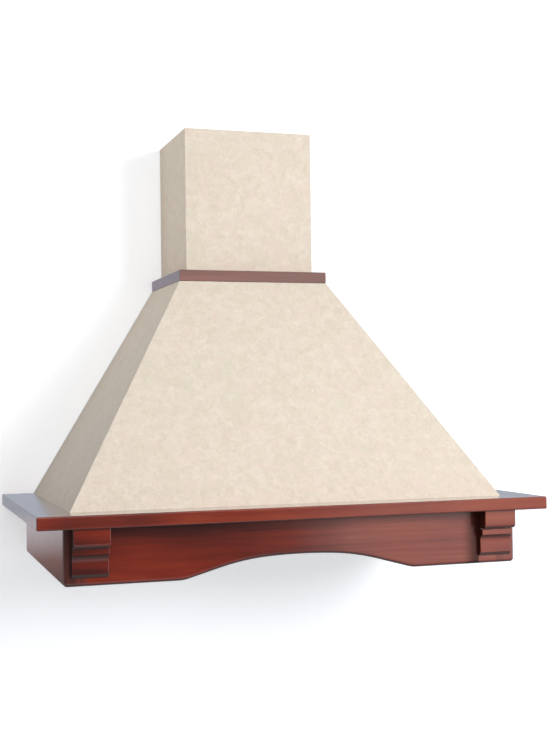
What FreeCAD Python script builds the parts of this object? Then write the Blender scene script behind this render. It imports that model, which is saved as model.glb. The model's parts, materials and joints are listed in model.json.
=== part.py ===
import FreeCAD, Part
import math
import os
from FreeCAD import Vector

# Wall-hung kitchen range hood with a wooden trim, in millimetres.
# X runs along the wall, the wall is the plane Y = 0, the front faces -Y and Z is up.
# Heights are counted from the top of the wooden shelf and the finished pieces are then moved
# so that the origin lies at the centre of the four wall screws, on the wall plane.

# Wooden shelf frame
shelf_width = 900.0
shelf_depth = 533.0
shelf_thickness = 22.0
rail_width = 80.0
back_rail_depth = 40.0
shelf_round = 2.5
biscuit_length = 56.0
biscuit_width = 23.0
biscuit_thickness = 4.0
rail_dowel_shares = (0.3, 0.7)

# Wooden apron below the shelf
side_overhang = 46.5
front_overhang = 38.0
apron_height = 95.5
board_thickness = 22.0
post_side = 38.0
apron_round = 6.5
arch_half_span = 205.0
arch_crown_radius = 900.0
arch_crown_angle = 3.8
arch_haunch_radius = 400.0
arch_flank_angle = 15.6
arch_corner_radius = 60.0
dowel_radius = 4.0
dowel_length = 30.0
apron_dowel_shares = (0.25, 0.75)

# Corbels at the front corners of the apron
corbel_width = 60.0
corbel_end_inset = 12.0
corbel_block_projection = 29.0
corbel_block_face = 24.0
corbel_ovolo = 8.0
corbel_quirk_depth = 6.0
corbel_quirk_height = 2.0
corbel_lip_projection = 17.0
corbel_lip_height = 9.0
corbel_cove_height = 12.0
corbel_cove_hollow = 0.35
corbel_foot_projection = 9.0
corbel_foot_face = 20.0
corbel_foot_chamfer = 6.0
corbel_round = 1.6

# Coated sheet canopy
canopy_inset = 61.0
canopy_height = 402.0
canopy_top_width = 290.5
canopy_top_depth = 240.0
canopy_sheet = 1.2
canopy_bottom_flange = 25.0
canopy_top_flange = 35.0
canopy_back_flange = 20.0
canopy_head_flange = 12.0
hip_angle_leg = 22.0
top_plate_sheet = 1.5
flange_hole_share = 0.6
front_screw_shares = (-0.66, -0.33, 0, 0.33, 0.66)
side_screw_shares = (0.2, 0.45, 0.7)
back_screw_shares = (-0.5, 0, 0.5)
back_rivet_shares = (0.12, 0.37, 0.62, 0.87)
rivet_line_share = 0.55

# Wooden collar round the foot of the chimney
collar_thickness = 21.5
collar_round = 1.5
collar_clearance = 0.5
collar_front_screw_share = 0.5
collar_side_screw_shares = (0.25, 0.65)

# Chimney covers
chimney_width = 251.0
chimney_depth = 214.0
chimney_height = 271.5
chimney_sheet = 1.0
chimney_foot_flange = 12.0
chimney_back_flange = 15.0
chimney_clearance = 1.2
extension_seat_gap = 0.3
extension_top_drop = 3.0
bracket_sheet = 1.5
bracket_height = 40.0
bracket_hole_spacing = 160.0
bracket_hole_radius = 3.0
bracket_side_gap = 1.0
bracket_drop = 5.0
bracket_rivet_shares = (0.25, 0.75)
chimney_screw_shares = (0.3, 0.75)

# Wall screws
wall_screw_height = 100.0
wall_screw_spacing_x = 400.0
wall_screw_spacing_z = 150.0
wall_screw_hole_radius = 4.0

# Steel underside panel
panel_sheet = 1.0
panel_flange = 22.0
panel_clearance = 0.5
front_strip = 81.0
side_strip = 31.0
rear_strip = 66.5
panel_front_screw_shares = (-0.55, -0.2, 0.2, 0.55)
panel_side_screw_shares = (0.15, 0.5, 0.85)

# Grease filters
filter_thickness = 9.0
filter_side_bar = 14.0
filter_front_bar = 22.0
filter_gap = 16.0
filter_lip = 8.0
filter_seat_gap = 0.5
mesh_thickness = 5.0
mesh_groove = 2.0
hinge_pin_radius = 2.5
hinge_pin_length = 6.0
clip_sheet = 1.5
clip_depth = 16.0
clip_foot = 8.0
clip_drop = 1.0
running_clearance = 0.05

# Filter latches
latch_travel = 5.0
latch_gap = 0.3
latch_stem_depth = 3.0
latch_stem_width = 16.0
latch_head_width = 22.0
latch_head_height = 3.0
latch_grip_width = 60.0
latch_grip_thickness = 2.0
latch_grip_lip = 7.0

# Lamps
lamp_spacing = 400.0
lamp_bezel_radius = 30.0
lamp_bezel_height = 3.0
lamp_can_radius = 26.5
lamp_can_height = 20.0
lamp_lens_radius = 24.0
lamp_lens_thickness = 2.0
lamp_lens_ledge = 2.0
lamp_can_head = 3.0

# Control buttons
button_count = 4
button_pitch = 28.0
button_width = 20.0
button_depth = 12.0
button_reach = 3.0
button_body = 9.0
button_skirt = 1.0
button_skirt_height = 3.0
button_travel = 3.0
button_round = 1.0
switch_bezel_height = 3.0
switch_bezel_margin = 8.0
switch_box_height = 22.0

# Blower
duct_radius = 74.5
spigot_wall = 2.0
spigot_height = 55.0
spigot_flange_radius = 90.0
spigot_flange_height = 3.0
duct_axis_depth = 107.0
scroll_width = 150.0
scroll_wall = 2.0
scroll_first_radius = 100.0
scroll_growth = 20.0
outlet_depth = 130.0
outlet_flange = 20.0
outlet_flange_height = 3.0
blower_axis_height = 190.0
boss_radius = 6.0
boss_start = 4.0
boss_length = 16.0
boss_angles = ((110, 0), (170, 0), (225, 1), (300, 2))
boss_bite = 0.3
inlet_radius = 70.0
inlet_lip = 6.0
impeller_radius = 80.0
impeller_width = 120.0
blade_depth = 14.0
blade_thickness = 1.2
blade_count = 36
blade_lean = 28.0
blade_camber = 0.12
blade_inset = 0.5
disc_thickness = 2.5
hub_radius = 12.0
hub_length = 18.0
shaft_radius = 4.0
shaft_tail = 2.0
motor_radius = 42.0
motor_length = 80.0
motor_round = 4.0
motor_hub_gap = 3.0
motor_boss_radius = 14.0
motor_boss_length = 4.0
motor_flange_radius = 53.0
motor_plate = 3.0
bracket_ring_width = 3.0
spoke_angles = (90, 210, 330)
bracket_arm_width = 16.0
bracket_arm_reach = 84.0

# Non-return flaps in the spigot
flap_thickness = 1.2
flap_edge_gap = 1.5
flap_knuckle_radius = 3.0
flap_pin_radius = 1.5
flap_height = 12.0
flap_ledge = 3.5
flap_ledge_height = 2.0
flap_knuckle_gap = 1.0
flap_pin_inset = 0.5
spigot_screw_angles = (0, 90, 180, 270)

# Terminal box
terminal_width = 76.0
terminal_depth = 35.0
terminal_height = 62.0
terminal_inset = 139.0
terminal_level = 55.0
terminal_wall = 3.0
terminal_round = 2.0
terminal_ear_reach = 9.0
terminal_ear_height = 14.0
terminal_ear_sheet = 2.0
terminal_screw_level = 25.0
gland_radius = 9.0
gland_length = 12.0
gland_wall = 4.0

# Fasteners
wood_screw_radius = 1.75
wood_screw_length = 16.0
wood_screw_head_radius = 3.5
wood_screw_head_height = 2.0
long_screw_radius = 2.0
long_screw_length = 45.0
long_screw_head_radius = 4.0
long_screw_sink = 6.0
sheet_screw_radius = 1.9
sheet_screw_length = 9.5
sheet_screw_head_radius = 3.4
sheet_screw_head_height = 2.2
rivet_radius = 1.6
rivet_head_radius = 3.0
rivet_head_height = 1.2
hole_clearance = 0.1

# Levels and outlines that follow from the sizes above
shelf_bottom = -shelf_thickness
apron_bottom = shelf_bottom - apron_height
apron_half = shelf_width / 2 - side_overhang
apron_front_y = -(shelf_depth - front_overhang)
board_back_y = apron_front_y + board_thickness
post_inner_x = apron_half - post_side
post_back_y = apron_front_y + post_side
rail_inner_x = shelf_width / 2 - rail_width
rail_inner_y = -(shelf_depth - rail_width)
canopy_half = shelf_width / 2 - canopy_inset
canopy_front_y = -(shelf_depth - canopy_inset)
canopy_side_slope = (canopy_half - canopy_top_width / 2) / canopy_height
canopy_front_slope = (-canopy_front_y - canopy_top_depth) / canopy_height
canopy_skin = canopy_sheet * math.hypot(1, canopy_side_slope)
flange_level = canopy_height - canopy_sheet
plate_level = flange_level - top_plate_sheet
collar_width = canopy_top_width
collar_depth = canopy_top_depth
chimney_top = canopy_height + collar_thickness + chimney_height
duct_y = -duct_axis_depth
panel_top = shelf_bottom
panel_bottom = panel_top - panel_sheet
panel_half = apron_half - board_thickness - panel_clearance
panel_front_y = board_back_y + panel_clearance
filter_front_y = panel_front_y + front_strip
filter_back_y = -rear_strip
filter_width = panel_half - side_strip - filter_gap / 2
filter_top = panel_bottom - filter_seat_gap
filter_bottom = filter_top - filter_thickness
filter_axis_y = filter_back_y - filter_thickness / 2
filter_axis_z = filter_top - filter_thickness / 2
filter_center_x = (filter_gap + filter_width) / 2
strip_center_y = (rail_inner_y + filter_front_y) / 2
latch_front_y = filter_front_y + filter_lip + latch_gap
mesh_level = filter_axis_z - mesh_thickness / 2
blower_axis_y = duct_y + outlet_depth / 2 - scroll_first_radius - 2.5 * scroll_growth
outlet_front_y = duct_y - outlet_depth / 2
outlet_back_y = duct_y + outlet_depth / 2
half_scroll = scroll_width / 2
motor_front_x = -(hub_length / 2 + motor_hub_gap)
motor_back_x = motor_front_x - motor_length - 2 * motor_boss_length
flap_level = flange_level + flap_height
flap_radius = duct_radius - spigot_wall - flap_edge_gap
terminal_x = canopy_half - terminal_inset

# Lengths that cut right through, and the difference below which two places are one
big = 2000.0
beyond = 5.0
same = 0.01


def box(x0, x1, y0, y1, z0, z1):
    return Part.makeBox(x1 - x0, y1 - y0, z1 - z0, Vector(x0, y0, z0))


def rod(radius, start, direction, length):
    return Part.makeCylinder(radius, length, start, direction)


def mirrored(shape):
    return shape.mirror(Vector(0, 0, 0), Vector(1, 0, 0))


def polygon_face(points):
    return Part.Face(Part.makePolygon(points + [points[0]]))


def extruded_plan(points, z0, z1):
    return polygon_face([Vector(x, y, z0) for x, y in points]).extrude(Vector(0, 0, z1 - z0))


def flat_sided(lower, upper):
    faces = [polygon_face(lower[::-1]), polygon_face(upper)]
    for index in range(len(lower)):
        after = (index + 1) % len(lower)
        faces.append(polygon_face([lower[index], lower[after], upper[after], upper[index]]))
    shell = Part.makeShell(faces)
    shell.sewShape()
    return Part.makeSolid(shell)


def joined(shapes):
    solid = shapes[0].multiFuse(shapes[1:]) if len(shapes) > 1 else shapes[0]
    return solid.removeSplitter()


def edges_where(shape, test):
    return [edge for edge in shape.Edges if test(edge.BoundBox)]


def fastener(place, shank_radius, length, head_radius, head_height):
    point, into = place
    shank = rod(shank_radius, point, into, length)
    head = rod(head_radius, point, into * -1, head_height)
    return shank.fuse(head)


def fasteners(places, shank_radius, length, head_radius, head_height):
    made = [fastener(place, shank_radius, length, head_radius, head_height) for place in places]
    return Part.makeCompound(made)


def drilled(shape, places, radius, length, back=beyond):
    for point, into in places:
        shape = shape.cut(rod(radius + hole_clearance, point - into * back, into, length + back))
    return shape


# Wooden shelf frame

def shelf_slab():
    half = shelf_width / 2
    slab = box(-half, half, -shelf_depth, 0, shelf_bottom, 0)

    def outer(b):
        on_side = abs(abs(b.XMin) - half) < same and b.XLength < same
        on_front = abs(b.YMin + shelf_depth) < same and b.YLength < same
        return (on_side and (b.YLength > 1 or on_front)) or (on_front and b.XLength > 1)

    return slab.makeFillet(shelf_round, edges_where(slab, outer))


def mitre_plan(half, front_y, inner_half, inner_y):
    outer_half = 2 * half - inner_half
    outer_y = 2 * front_y - inner_y
    return [(-outer_half, outer_y), (outer_half, outer_y), (inner_half, inner_y), (-inner_half, inner_y)]


def front_rail_region():
    plan = mitre_plan(shelf_width / 2, -shelf_depth, rail_inner_x, rail_inner_y)
    return extruded_plan(plan, -big / 2, big / 2)


def biscuit_places():
    x = (shelf_width / 2 + rail_inner_x) / 2
    y = (-shelf_depth + rail_inner_y) / 2
    return [(Vector(-x, y, shelf_bottom / 2), 45), (Vector(x, y, shelf_bottom / 2), -45)]


def biscuit(place, angle, spare):
    length = biscuit_length + spare
    width = biscuit_width + spare
    height = biscuit_thickness + spare
    body = box(-length / 2, length / 2, -width / 2, width / 2, -height / 2, height / 2)
    body.rotate(Vector(0, 0, 0), Vector(0, 0, 1), angle)
    body.translate(place)
    return body


def biscuit_slots():
    return joined([biscuit(place, angle, 2 * hole_clearance) for place, angle in biscuit_places()])


def mitre_biscuits():
    return Part.makeCompound([biscuit(place, angle, 0) for place, angle in biscuit_places()])


def shelf_ring():
    inner = box(-rail_inner_x, rail_inner_x, rail_inner_y, 1, -big / 2, big / 2)
    ring = shelf_slab().cut(inner).cut(biscuit_slots())
    ring = drilled(ring, canopy_wood_screws() + panel_rail_screws(), wood_screw_radius, wood_screw_length)
    return drilled(ring, rail_dowels(), dowel_radius, dowel_length, 0)


def shelf_front_rail():
    return shelf_ring().common(front_rail_region())


def shelf_right_rail():
    sides = shelf_ring().cut(front_rail_region())
    return sides.common(box(0, big / 2, -big / 2, big / 2, -big / 2, big / 2))


def shelf_left_rail():
    sides = shelf_ring().cut(front_rail_region())
    return sides.common(box(-big / 2, 0, -big / 2, big / 2, -big / 2, big / 2))


def shelf_back_rail():
    rail = box(-rail_inner_x, rail_inner_x, -back_rail_depth, 0, shelf_bottom, 0)
    rail = drilled(rail, back_panel_wood_screws(), wood_screw_radius, wood_screw_length)
    return drilled(rail, rail_dowels(), dowel_radius, dowel_length, 0)


# Dowels of the wooden frame

def rail_dowels():
    start = rail_inner_x - dowel_length / 2
    places = []
    for side in (-1, 1):
        for share in rail_dowel_shares:
            point = Vector(side * start, -share * back_rail_depth, shelf_bottom / 2)
            places.append((point, Vector(side, 0, 0)))
    return places


def apron_dowels():
    places = []
    front_x = post_inner_x - dowel_length / 2
    front_y = apron_front_y + board_thickness / 2
    rear_x = apron_half - board_thickness / 2
    rear_y = post_back_y - dowel_length / 2
    for side in (-1, 1):
        for share in apron_dowel_shares:
            level = shelf_bottom - share * apron_height
            front = Vector(side * front_x, front_y, level)
            rear = Vector(side * rear_x, rear_y, level + dowel_length / 2)
            places.append((front, Vector(side, 0, 0)))
            places.append((rear, Vector(0, 1, 0)))
    return places


def frame_dowels():
    places = rail_dowels() + apron_dowels()
    return Part.makeCompound([rod(dowel_radius, point, into, dowel_length) for point, into in places])


# Wooden apron

def apron_block():
    block = box(-apron_half, apron_half, apron_front_y, 0, apron_bottom, shelf_bottom)

    def outer(b):
        low = abs(b.ZMax - apron_bottom) < same
        on_side = abs(abs(b.XMin) - apron_half) < same and b.XLength < same
        on_front = abs(b.YMin - apron_front_y) < same and b.YLength < same
        return (low and (on_side or on_front)) or (on_side and on_front)

    return block.makeFillet(apron_round, edges_where(block, outer))


def arch_wire(y):
    crown = math.radians(arch_crown_angle)
    flank = math.radians(arch_flank_angle)
    crown_x = arch_crown_radius * math.sin(crown)
    crown_drop = arch_crown_radius * (1 - math.cos(crown))
    haunch_x = crown_x + arch_haunch_radius * (math.sin(flank) - math.sin(crown))
    haunch_drop = crown_drop + arch_haunch_radius * (math.cos(crown) - math.cos(flank))
    rise = haunch_drop + (arch_half_span - haunch_x) * math.tan(flank)
    top = apron_bottom + rise
    middle = (crown + flank) / 2
    middle_x = crown_x + arch_haunch_radius * (math.sin(middle) - math.sin(crown))
    middle_drop = crown_drop + arch_haunch_radius * (math.cos(crown) - math.cos(middle))
    setback = arch_corner_radius * math.tan(flank / 2)
    ease_x = arch_half_span + setback
    flank_x = arch_half_span - setback * math.cos(flank)
    flank_z = apron_bottom + setback * math.sin(flank)
    ease_middle_x = ease_x - arch_corner_radius * math.sin(flank / 2)
    ease_middle_z = apron_bottom + arch_corner_radius * (1 - math.cos(flank / 2))

    def at(x, z):
        return Vector(x, y, z)

    def side(s):
        return [
            Part.Arc(at(s * crown_x, top - crown_drop), at(s * middle_x, top - middle_drop),
                     at(s * haunch_x, top - haunch_drop)).toShape(),
            Part.makeLine(at(s * haunch_x, top - haunch_drop), at(s * flank_x, flank_z)),
            Part.Arc(at(s * flank_x, flank_z), at(s * ease_middle_x, ease_middle_z),
                     at(s * ease_x, apron_bottom)).toShape(),
            Part.makeLine(at(s * ease_x, apron_bottom), at(s * post_inner_x, apron_bottom)),
            Part.makeLine(at(s * post_inner_x, apron_bottom), at(s * post_inner_x, shelf_bottom)),
        ]

    left = at(-crown_x, top - crown_drop)
    right = at(crown_x, top - crown_drop)
    crown_arc = Part.Arc(left, at(0, top), right).toShape()
    head = Part.makeLine(at(-post_inner_x, shelf_bottom), at(post_inner_x, shelf_bottom))
    edges = side(-1) + side(1) + [crown_arc, head]
    return Part.Wire(Part.__sortEdges__(edges))


def apron_front():
    board = Part.Face(arch_wire(apron_front_y)).extrude(Vector(0, board_thickness, 0))

    def lower_front(b):
        on_front = abs(b.YMax - apron_front_y) < same
        return on_front and b.ZMax < shelf_bottom - 1 and b.XLength > 1

    board = board.makeFillet(apron_round, edges_where(board, lower_front))
    return drilled(board, apron_dowels(), dowel_radius, dowel_length, 0)


def corner_post_right():
    post = apron_block().common(box(post_inner_x, big, apron_front_y - 1, post_back_y, -big, big))
    post = drilled(post, apron_dowels(), dowel_radius, dowel_length, 0)
    post = drilled(post, corbel_screws(), long_screw_radius, long_screw_length)
    return drilled(post, corbel_screws(), long_screw_head_radius, 0, long_screw_sink + 1)


def apron_right():
    inner_x = apron_half - board_thickness
    board = apron_block().common(box(inner_x, big, post_back_y, 0, -big, big))
    board = drilled(board, apron_dowels(), dowel_radius, dowel_length, 0)
    return drilled(board, panel_side_screws(), wood_screw_radius, wood_screw_length)


# Corbels

def corbel_profile(x):
    z = shelf_bottom
    front = apron_front_y

    def at(projection, level):
        return Vector(x, front - projection, level)

    block_foot = z - corbel_block_face
    ovolo_foot = block_foot - corbel_ovolo
    ovolo_mid = corbel_ovolo * (1 - math.sqrt(0.5))
    lip_top = ovolo_foot - corbel_quirk_height
    lip_foot = lip_top - corbel_lip_height
    cove_foot = lip_foot - corbel_cove_height
    foot = cove_foot - corbel_foot_face
    end = foot - corbel_foot_chamfer
    ovolo_in = corbel_block_projection - corbel_ovolo
    quirk = corbel_lip_projection - corbel_quirk_depth
    cove_run = corbel_lip_projection - corbel_foot_projection
    cove_mid = corbel_foot_projection + corbel_cove_hollow * cove_run
    cove_mid_level = lip_foot - corbel_cove_hollow * corbel_cove_height
    chamfer_in = corbel_foot_projection - corbel_foot_chamfer
    edges = [
        Part.makeLine(at(0, z), at(corbel_block_projection, z)),
        Part.makeLine(at(corbel_block_projection, z), at(corbel_block_projection, block_foot)),
        Part.Arc(at(corbel_block_projection, block_foot),
                 at(corbel_block_projection - ovolo_mid, ovolo_foot + ovolo_mid),
                 at(ovolo_in, ovolo_foot)).toShape(),
        Part.makeLine(at(ovolo_in, ovolo_foot), at(quirk, ovolo_foot)),
        Part.makeLine(at(quirk, ovolo_foot), at(quirk, lip_top)),
        Part.makeLine(at(quirk, lip_top), at(corbel_lip_projection, lip_top)),
        Part.makeLine(at(corbel_lip_projection, lip_top), at(corbel_lip_projection, lip_foot)),
        Part.Arc(at(corbel_lip_projection, lip_foot),
                 at(cove_mid, cove_mid_level),
                 at(corbel_foot_projection, cove_foot)).toShape(),
        Part.makeLine(at(corbel_foot_projection, cove_foot), at(corbel_foot_projection, foot)),
        Part.makeLine(at(corbel_foot_projection, foot), at(chamfer_in, end)),
        Part.makeLine(at(chamfer_in, end), at(0, end)),
        Part.makeLine(at(0, end), at(0, z)),
    ]
    return Part.Wire(Part.__sortEdges__(edges))


def corbel_right():
    right = apron_half - corbel_end_inset
    left = right - corbel_width
    body = Part.Face(corbel_profile(left)).extrude(Vector(corbel_width, 0, 0))

    def front_corner(b):
        reach = apron_front_y - b.YMin
        steps = (corbel_block_projection, corbel_lip_projection, corbel_foot_projection)
        on_step = b.YLength < same and min(abs(reach - step) for step in steps) < same
        return b.XLength < same and b.ZLength > 1 and on_step

    body = body.makeFillet(corbel_round, edges_where(body, front_corner))
    return drilled(body, corbel_screws(), long_screw_radius, long_screw_length)


def corbel_screws():
    level = shelf_bottom - corbel_block_face / 2
    low = shelf_bottom - corbel_block_face - corbel_ovolo - corbel_quirk_height - corbel_lip_height / 2
    places = []
    for side in (-1, 1):
        point_x = side * (post_inner_x + post_side / 3)
        for height in (level, low):
            places.append((Vector(point_x, post_back_y - long_screw_sink, height), Vector(0, -1, 0)))
    return places


# Coated sheet canopy

def canopy_ring(inset, z):
    half = canopy_half - canopy_side_slope * z - inset
    front = canopy_front_y + canopy_front_slope * z + inset
    return [Vector(-half, front, z), Vector(half, front, z), Vector(half, 0, z), Vector(-half, 0, z)]


def frustum(inset, z0, z1):
    return flat_sided(canopy_ring(inset, z0), canopy_ring(inset, z1))


def canopy_hip(z):
    return Vector(canopy_half - canopy_side_slope * z, canopy_front_y + canopy_front_slope * z, z)


def front_canopy_region():
    reach = 2 * canopy_top_flange
    rings = []
    for z in (-1, canopy_height + 1):
        hip = canopy_hip(z)
        x, y = hip.x, hip.y
        rings.append([
            Vector(-x - reach, y - reach, z), Vector(x + reach, y - reach, z),
            Vector(x - reach, y + reach, z), Vector(-x + reach, y + reach, z),
        ])
    return flat_sided(rings[0], rings[1])


def flange_ring(z0, width):
    half = canopy_half - canopy_side_slope * z0 - width
    front = canopy_front_y + canopy_front_slope * z0 + width
    full = frustum(0, z0, z0 + canopy_sheet)
    hole = box(-half, half, front, 1, z0 - 1, z0 + canopy_sheet + 1)
    behind = box(-big / 2, big / 2, -canopy_sheet, 1, -big / 2, big / 2)
    return full.cut(hole).cut(behind)


def canopy_back_strip():
    strip = frustum(0, 0, canopy_height).cut(frustum(canopy_back_flange, -1, canopy_height + 1))
    slab = box(-big / 2, big / 2, -2 * canopy_sheet, -canopy_sheet, 0, canopy_height)
    return strip.common(slab)


def canopy_shell():
    skin = frustum(0, 0, canopy_height).cut(frustum(canopy_skin, -1, canopy_height + 1))
    shell = joined([
        skin,
        flange_ring(0, canopy_bottom_flange),
        flange_ring(flange_level, canopy_top_flange),
        canopy_back_strip(),
    ])
    shell = drilled(shell, canopy_wood_screws() + collar_wood_screws(), wood_screw_radius, wood_screw_length)
    shell = drilled(shell, chimney_screws(), sheet_screw_radius, sheet_screw_length)
    return drilled(shell, canopy_rivets(), rivet_radius, 2 * canopy_sheet)


def canopy_front():
    return canopy_shell().common(front_canopy_region())


def canopy_right():
    sides = canopy_shell().cut(front_canopy_region())
    return sides.common(box(0, big, -big, big, -big, big))


def hip_angle_right():
    layer = frustum(canopy_skin, canopy_sheet, plate_level)
    layer = layer.cut(frustum(2 * canopy_skin, 0, canopy_height))
    rings = []
    for z in (canopy_sheet + 1, plate_level - 1):
        hip = canopy_hip(z)
        rings.append([
            Vector(hip.x, hip.y, z),
            Vector(hip.x, hip.y + hip_angle_leg, z),
            Vector(hip.x - hip_angle_leg, hip.y + hip_angle_leg, z),
            Vector(hip.x - hip_angle_leg, hip.y, z),
        ])
    return layer.common(flat_sided(rings[0], rings[1]))


def wall_screw_places():
    places = []
    for x in (-wall_screw_spacing_x / 2, wall_screw_spacing_x / 2):
        for z in (-wall_screw_spacing_z / 2, wall_screw_spacing_z / 2):
            places.append(Vector(x, -beyond, wall_screw_height + z))
    return places


def back_panel():
    slab = box(-big / 2, big / 2, -canopy_sheet, 0, 0, canopy_height)
    sheet = frustum(canopy_skin, 0, canopy_height).common(slab)
    foot = box(-rail_inner_x, rail_inner_x, -canopy_bottom_flange, -canopy_sheet / 2, 0, canopy_sheet)
    end = box(rail_inner_x - canopy_bottom_flange, big, -big, 1, -1, 1 + canopy_sheet)
    foot = foot.cut(end).cut(mirrored(end))
    top_half = canopy_top_width / 2 - canopy_top_flange - panel_clearance
    head = box(-top_half, top_half, -canopy_head_flange, -canopy_sheet / 2, flange_level, canopy_height)
    panel = joined([sheet, foot, head])
    for place in wall_screw_places():
        panel = panel.cut(rod(wall_screw_hole_radius, place, Vector(0, 1, 0), 2 * beyond))
    panel = drilled(panel, back_panel_wood_screws(), wood_screw_radius, wood_screw_length)
    panel = drilled(panel, terminal_screws(), sheet_screw_radius, sheet_screw_length)
    return drilled(panel, canopy_rivets(), rivet_radius, 2 * canopy_sheet)


def top_plate():
    half = canopy_half - canopy_side_slope * plate_level - canopy_skin - panel_clearance
    half = half - canopy_side_slope * top_plate_sheet
    front = canopy_front_y + canopy_front_slope * flange_level + canopy_skin + panel_clearance
    plate = box(-half, half, front, -2 * canopy_sheet - panel_clearance, plate_level, flange_level)
    bore = rod(duct_radius - spigot_wall, Vector(0, duct_y, 0), Vector(0, 0, 1), big)
    plate = drilled(plate.cut(bore), collar_wood_screws(), wood_screw_radius, wood_screw_length)
    return drilled(plate, chimney_screws() + spigot_screws(), sheet_screw_radius, sheet_screw_length)


# Fasteners of the canopy

def canopy_wood_screws():
    inset = flange_hole_share * canopy_bottom_flange
    places = []
    for share in front_screw_shares:
        point = Vector(share * canopy_half, canopy_front_y + inset, canopy_sheet)
        places.append((point, Vector(0, 0, -1)))
    for side in (-1, 1):
        for share in side_screw_shares:
            point = Vector(side * (canopy_half - inset), share * canopy_front_y, canopy_sheet)
            places.append((point, Vector(0, 0, -1)))
    return places


def back_panel_wood_screws():
    y = -flange_hole_share * canopy_bottom_flange
    places = []
    for share in back_screw_shares:
        places.append((Vector(share * canopy_half, y, canopy_sheet), Vector(0, 0, -1)))
    return places


def collar_wood_screws():
    x = (chimney_width + collar_width) / 4
    y = -(chimney_depth + canopy_top_depth) / 2
    up = Vector(0, 0, 1)
    places = []
    for side in (-1, 1):
        places.append((Vector(side * collar_front_screw_share * x, y, plate_level), up))
        for share in collar_side_screw_shares:
            places.append((Vector(side * x, share * y, plate_level), up))
    return places


def canopy_rivets():
    places = []
    for side in (-1, 1):
        for share in back_rivet_shares:
            level = share * canopy_height
            x = canopy_half - canopy_side_slope * level - rivet_line_share * canopy_back_flange
            places.append((Vector(side * x, -2 * canopy_sheet, level), Vector(0, 1, 0)))
    return places


def canopy_rivet_group():
    return fasteners(canopy_rivets(), rivet_radius, 2 * canopy_sheet, rivet_head_radius, rivet_head_height)


def wood_screw_group():
    places = canopy_wood_screws() + back_panel_wood_screws() + collar_wood_screws()
    places += panel_rail_screws() + panel_side_screws()
    short = fasteners(places, wood_screw_radius, wood_screw_length, wood_screw_head_radius, wood_screw_head_height)
    long = fasteners(corbel_screws(), long_screw_radius, long_screw_length, long_screw_head_radius,
                     wood_screw_head_height)
    return Part.makeCompound(short.Solids + long.Solids)


# Wooden collar

def collar_block():
    half = collar_width / 2
    top = canopy_height + collar_thickness
    block = box(-half, half, -collar_depth, 0, canopy_height, top)

    def outer(b):
        on_side = abs(abs(b.XMin) - half) < same and b.XLength < same
        on_front = abs(b.YMin + collar_depth) < same and b.YLength < same
        return (on_side and (b.YLength > 1 or on_front)) or (on_front and b.XLength > 1)

    block = block.makeFillet(collar_round, edges_where(block, outer))
    inner_half = chimney_width / 2 + collar_clearance
    inner_y = -chimney_depth - collar_clearance
    block = block.cut(box(-inner_half, inner_half, inner_y, 1, 0, big))
    return drilled(block, collar_wood_screws(), wood_screw_radius, wood_screw_length)


def collar_front_region():
    inner_half = chimney_width / 2 + collar_clearance
    inner_y = -chimney_depth - collar_clearance
    plan = mitre_plan(collar_width / 2, -collar_depth, inner_half, inner_y)
    return extruded_plan(plan, 0, big / 2)


def collar_front():
    return collar_block().common(collar_front_region())


def collar_right():
    sides = collar_block().cut(collar_front_region())
    return sides.common(box(0, big, -big, big, -big, big))


# Chimney covers

def folded_cover(half, front_y, back_y, z0, z1):
    outer = box(-half, half, front_y, back_y, z0, z1)
    sheet = chimney_sheet
    inner = box(-half + sheet, half - sheet, front_y + sheet, back_y - sheet, z0 - 1, z1 + 1)
    slot = half - chimney_back_flange
    return outer.cut(inner).cut(box(-slot, slot, back_y - 2 * sheet, back_y + 1, z0 - 1, z1 + 1))


def lower_chimney():
    half = chimney_width / 2
    cover = folded_cover(half, -chimney_depth, 0, canopy_height, chimney_top)
    inner_half = half - chimney_foot_flange
    bite = chimney_sheet / 2
    foot = box(-half + bite, half - bite, -chimney_depth + bite, -bite, canopy_height,
               canopy_height + chimney_sheet)
    foot = foot.cut(box(-inner_half, inner_half, -chimney_depth + chimney_foot_flange, 1, 0, big))
    return drilled(joined([cover, foot]), chimney_screws(), sheet_screw_radius, sheet_screw_length)


def extension_half():
    return chimney_width / 2 - chimney_sheet - chimney_clearance


def extension_back_y():
    return -chimney_sheet - chimney_clearance


def upper_chimney():
    front = -chimney_depth + chimney_sheet + chimney_clearance
    low = canopy_height + chimney_sheet + extension_seat_gap
    high = chimney_top - extension_top_drop
    cover = folded_cover(extension_half(), front, extension_back_y(), low, high)
    return drilled(cover, bracket_rivets(), rivet_radius, chimney_sheet + bracket_sheet)


def bracket_plate_y():
    return extension_back_y() - chimney_sheet


def chimney_bracket():
    half = extension_half() - chimney_sheet - bracket_side_gap
    high = chimney_top - extension_top_drop - bracket_drop
    back = bracket_plate_y()
    plate = box(-half, half, back - bracket_sheet, back, high - bracket_height, high)
    level = high - bracket_height / 2
    for x in (-bracket_hole_spacing / 2, bracket_hole_spacing / 2):
        start = Vector(x, back - beyond, level)
        plate = plate.cut(rod(bracket_hole_radius, start, Vector(0, 1, 0), 2 * beyond))
    return drilled(plate, bracket_rivets(), rivet_radius, chimney_sheet + bracket_sheet)


def bracket_rivets():
    x = extension_half() - rivet_line_share * chimney_back_flange
    high = chimney_top - extension_top_drop - bracket_drop
    start = bracket_plate_y() - bracket_sheet
    places = []
    for side in (-1, 1):
        for share in bracket_rivet_shares:
            places.append((Vector(side * x, start, high - share * bracket_height), Vector(0, 1, 0)))
    return places


def bracket_rivet_group():
    return fasteners(bracket_rivets(), rivet_radius, chimney_sheet + bracket_sheet, rivet_head_radius,
                     rivet_head_height)


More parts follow.
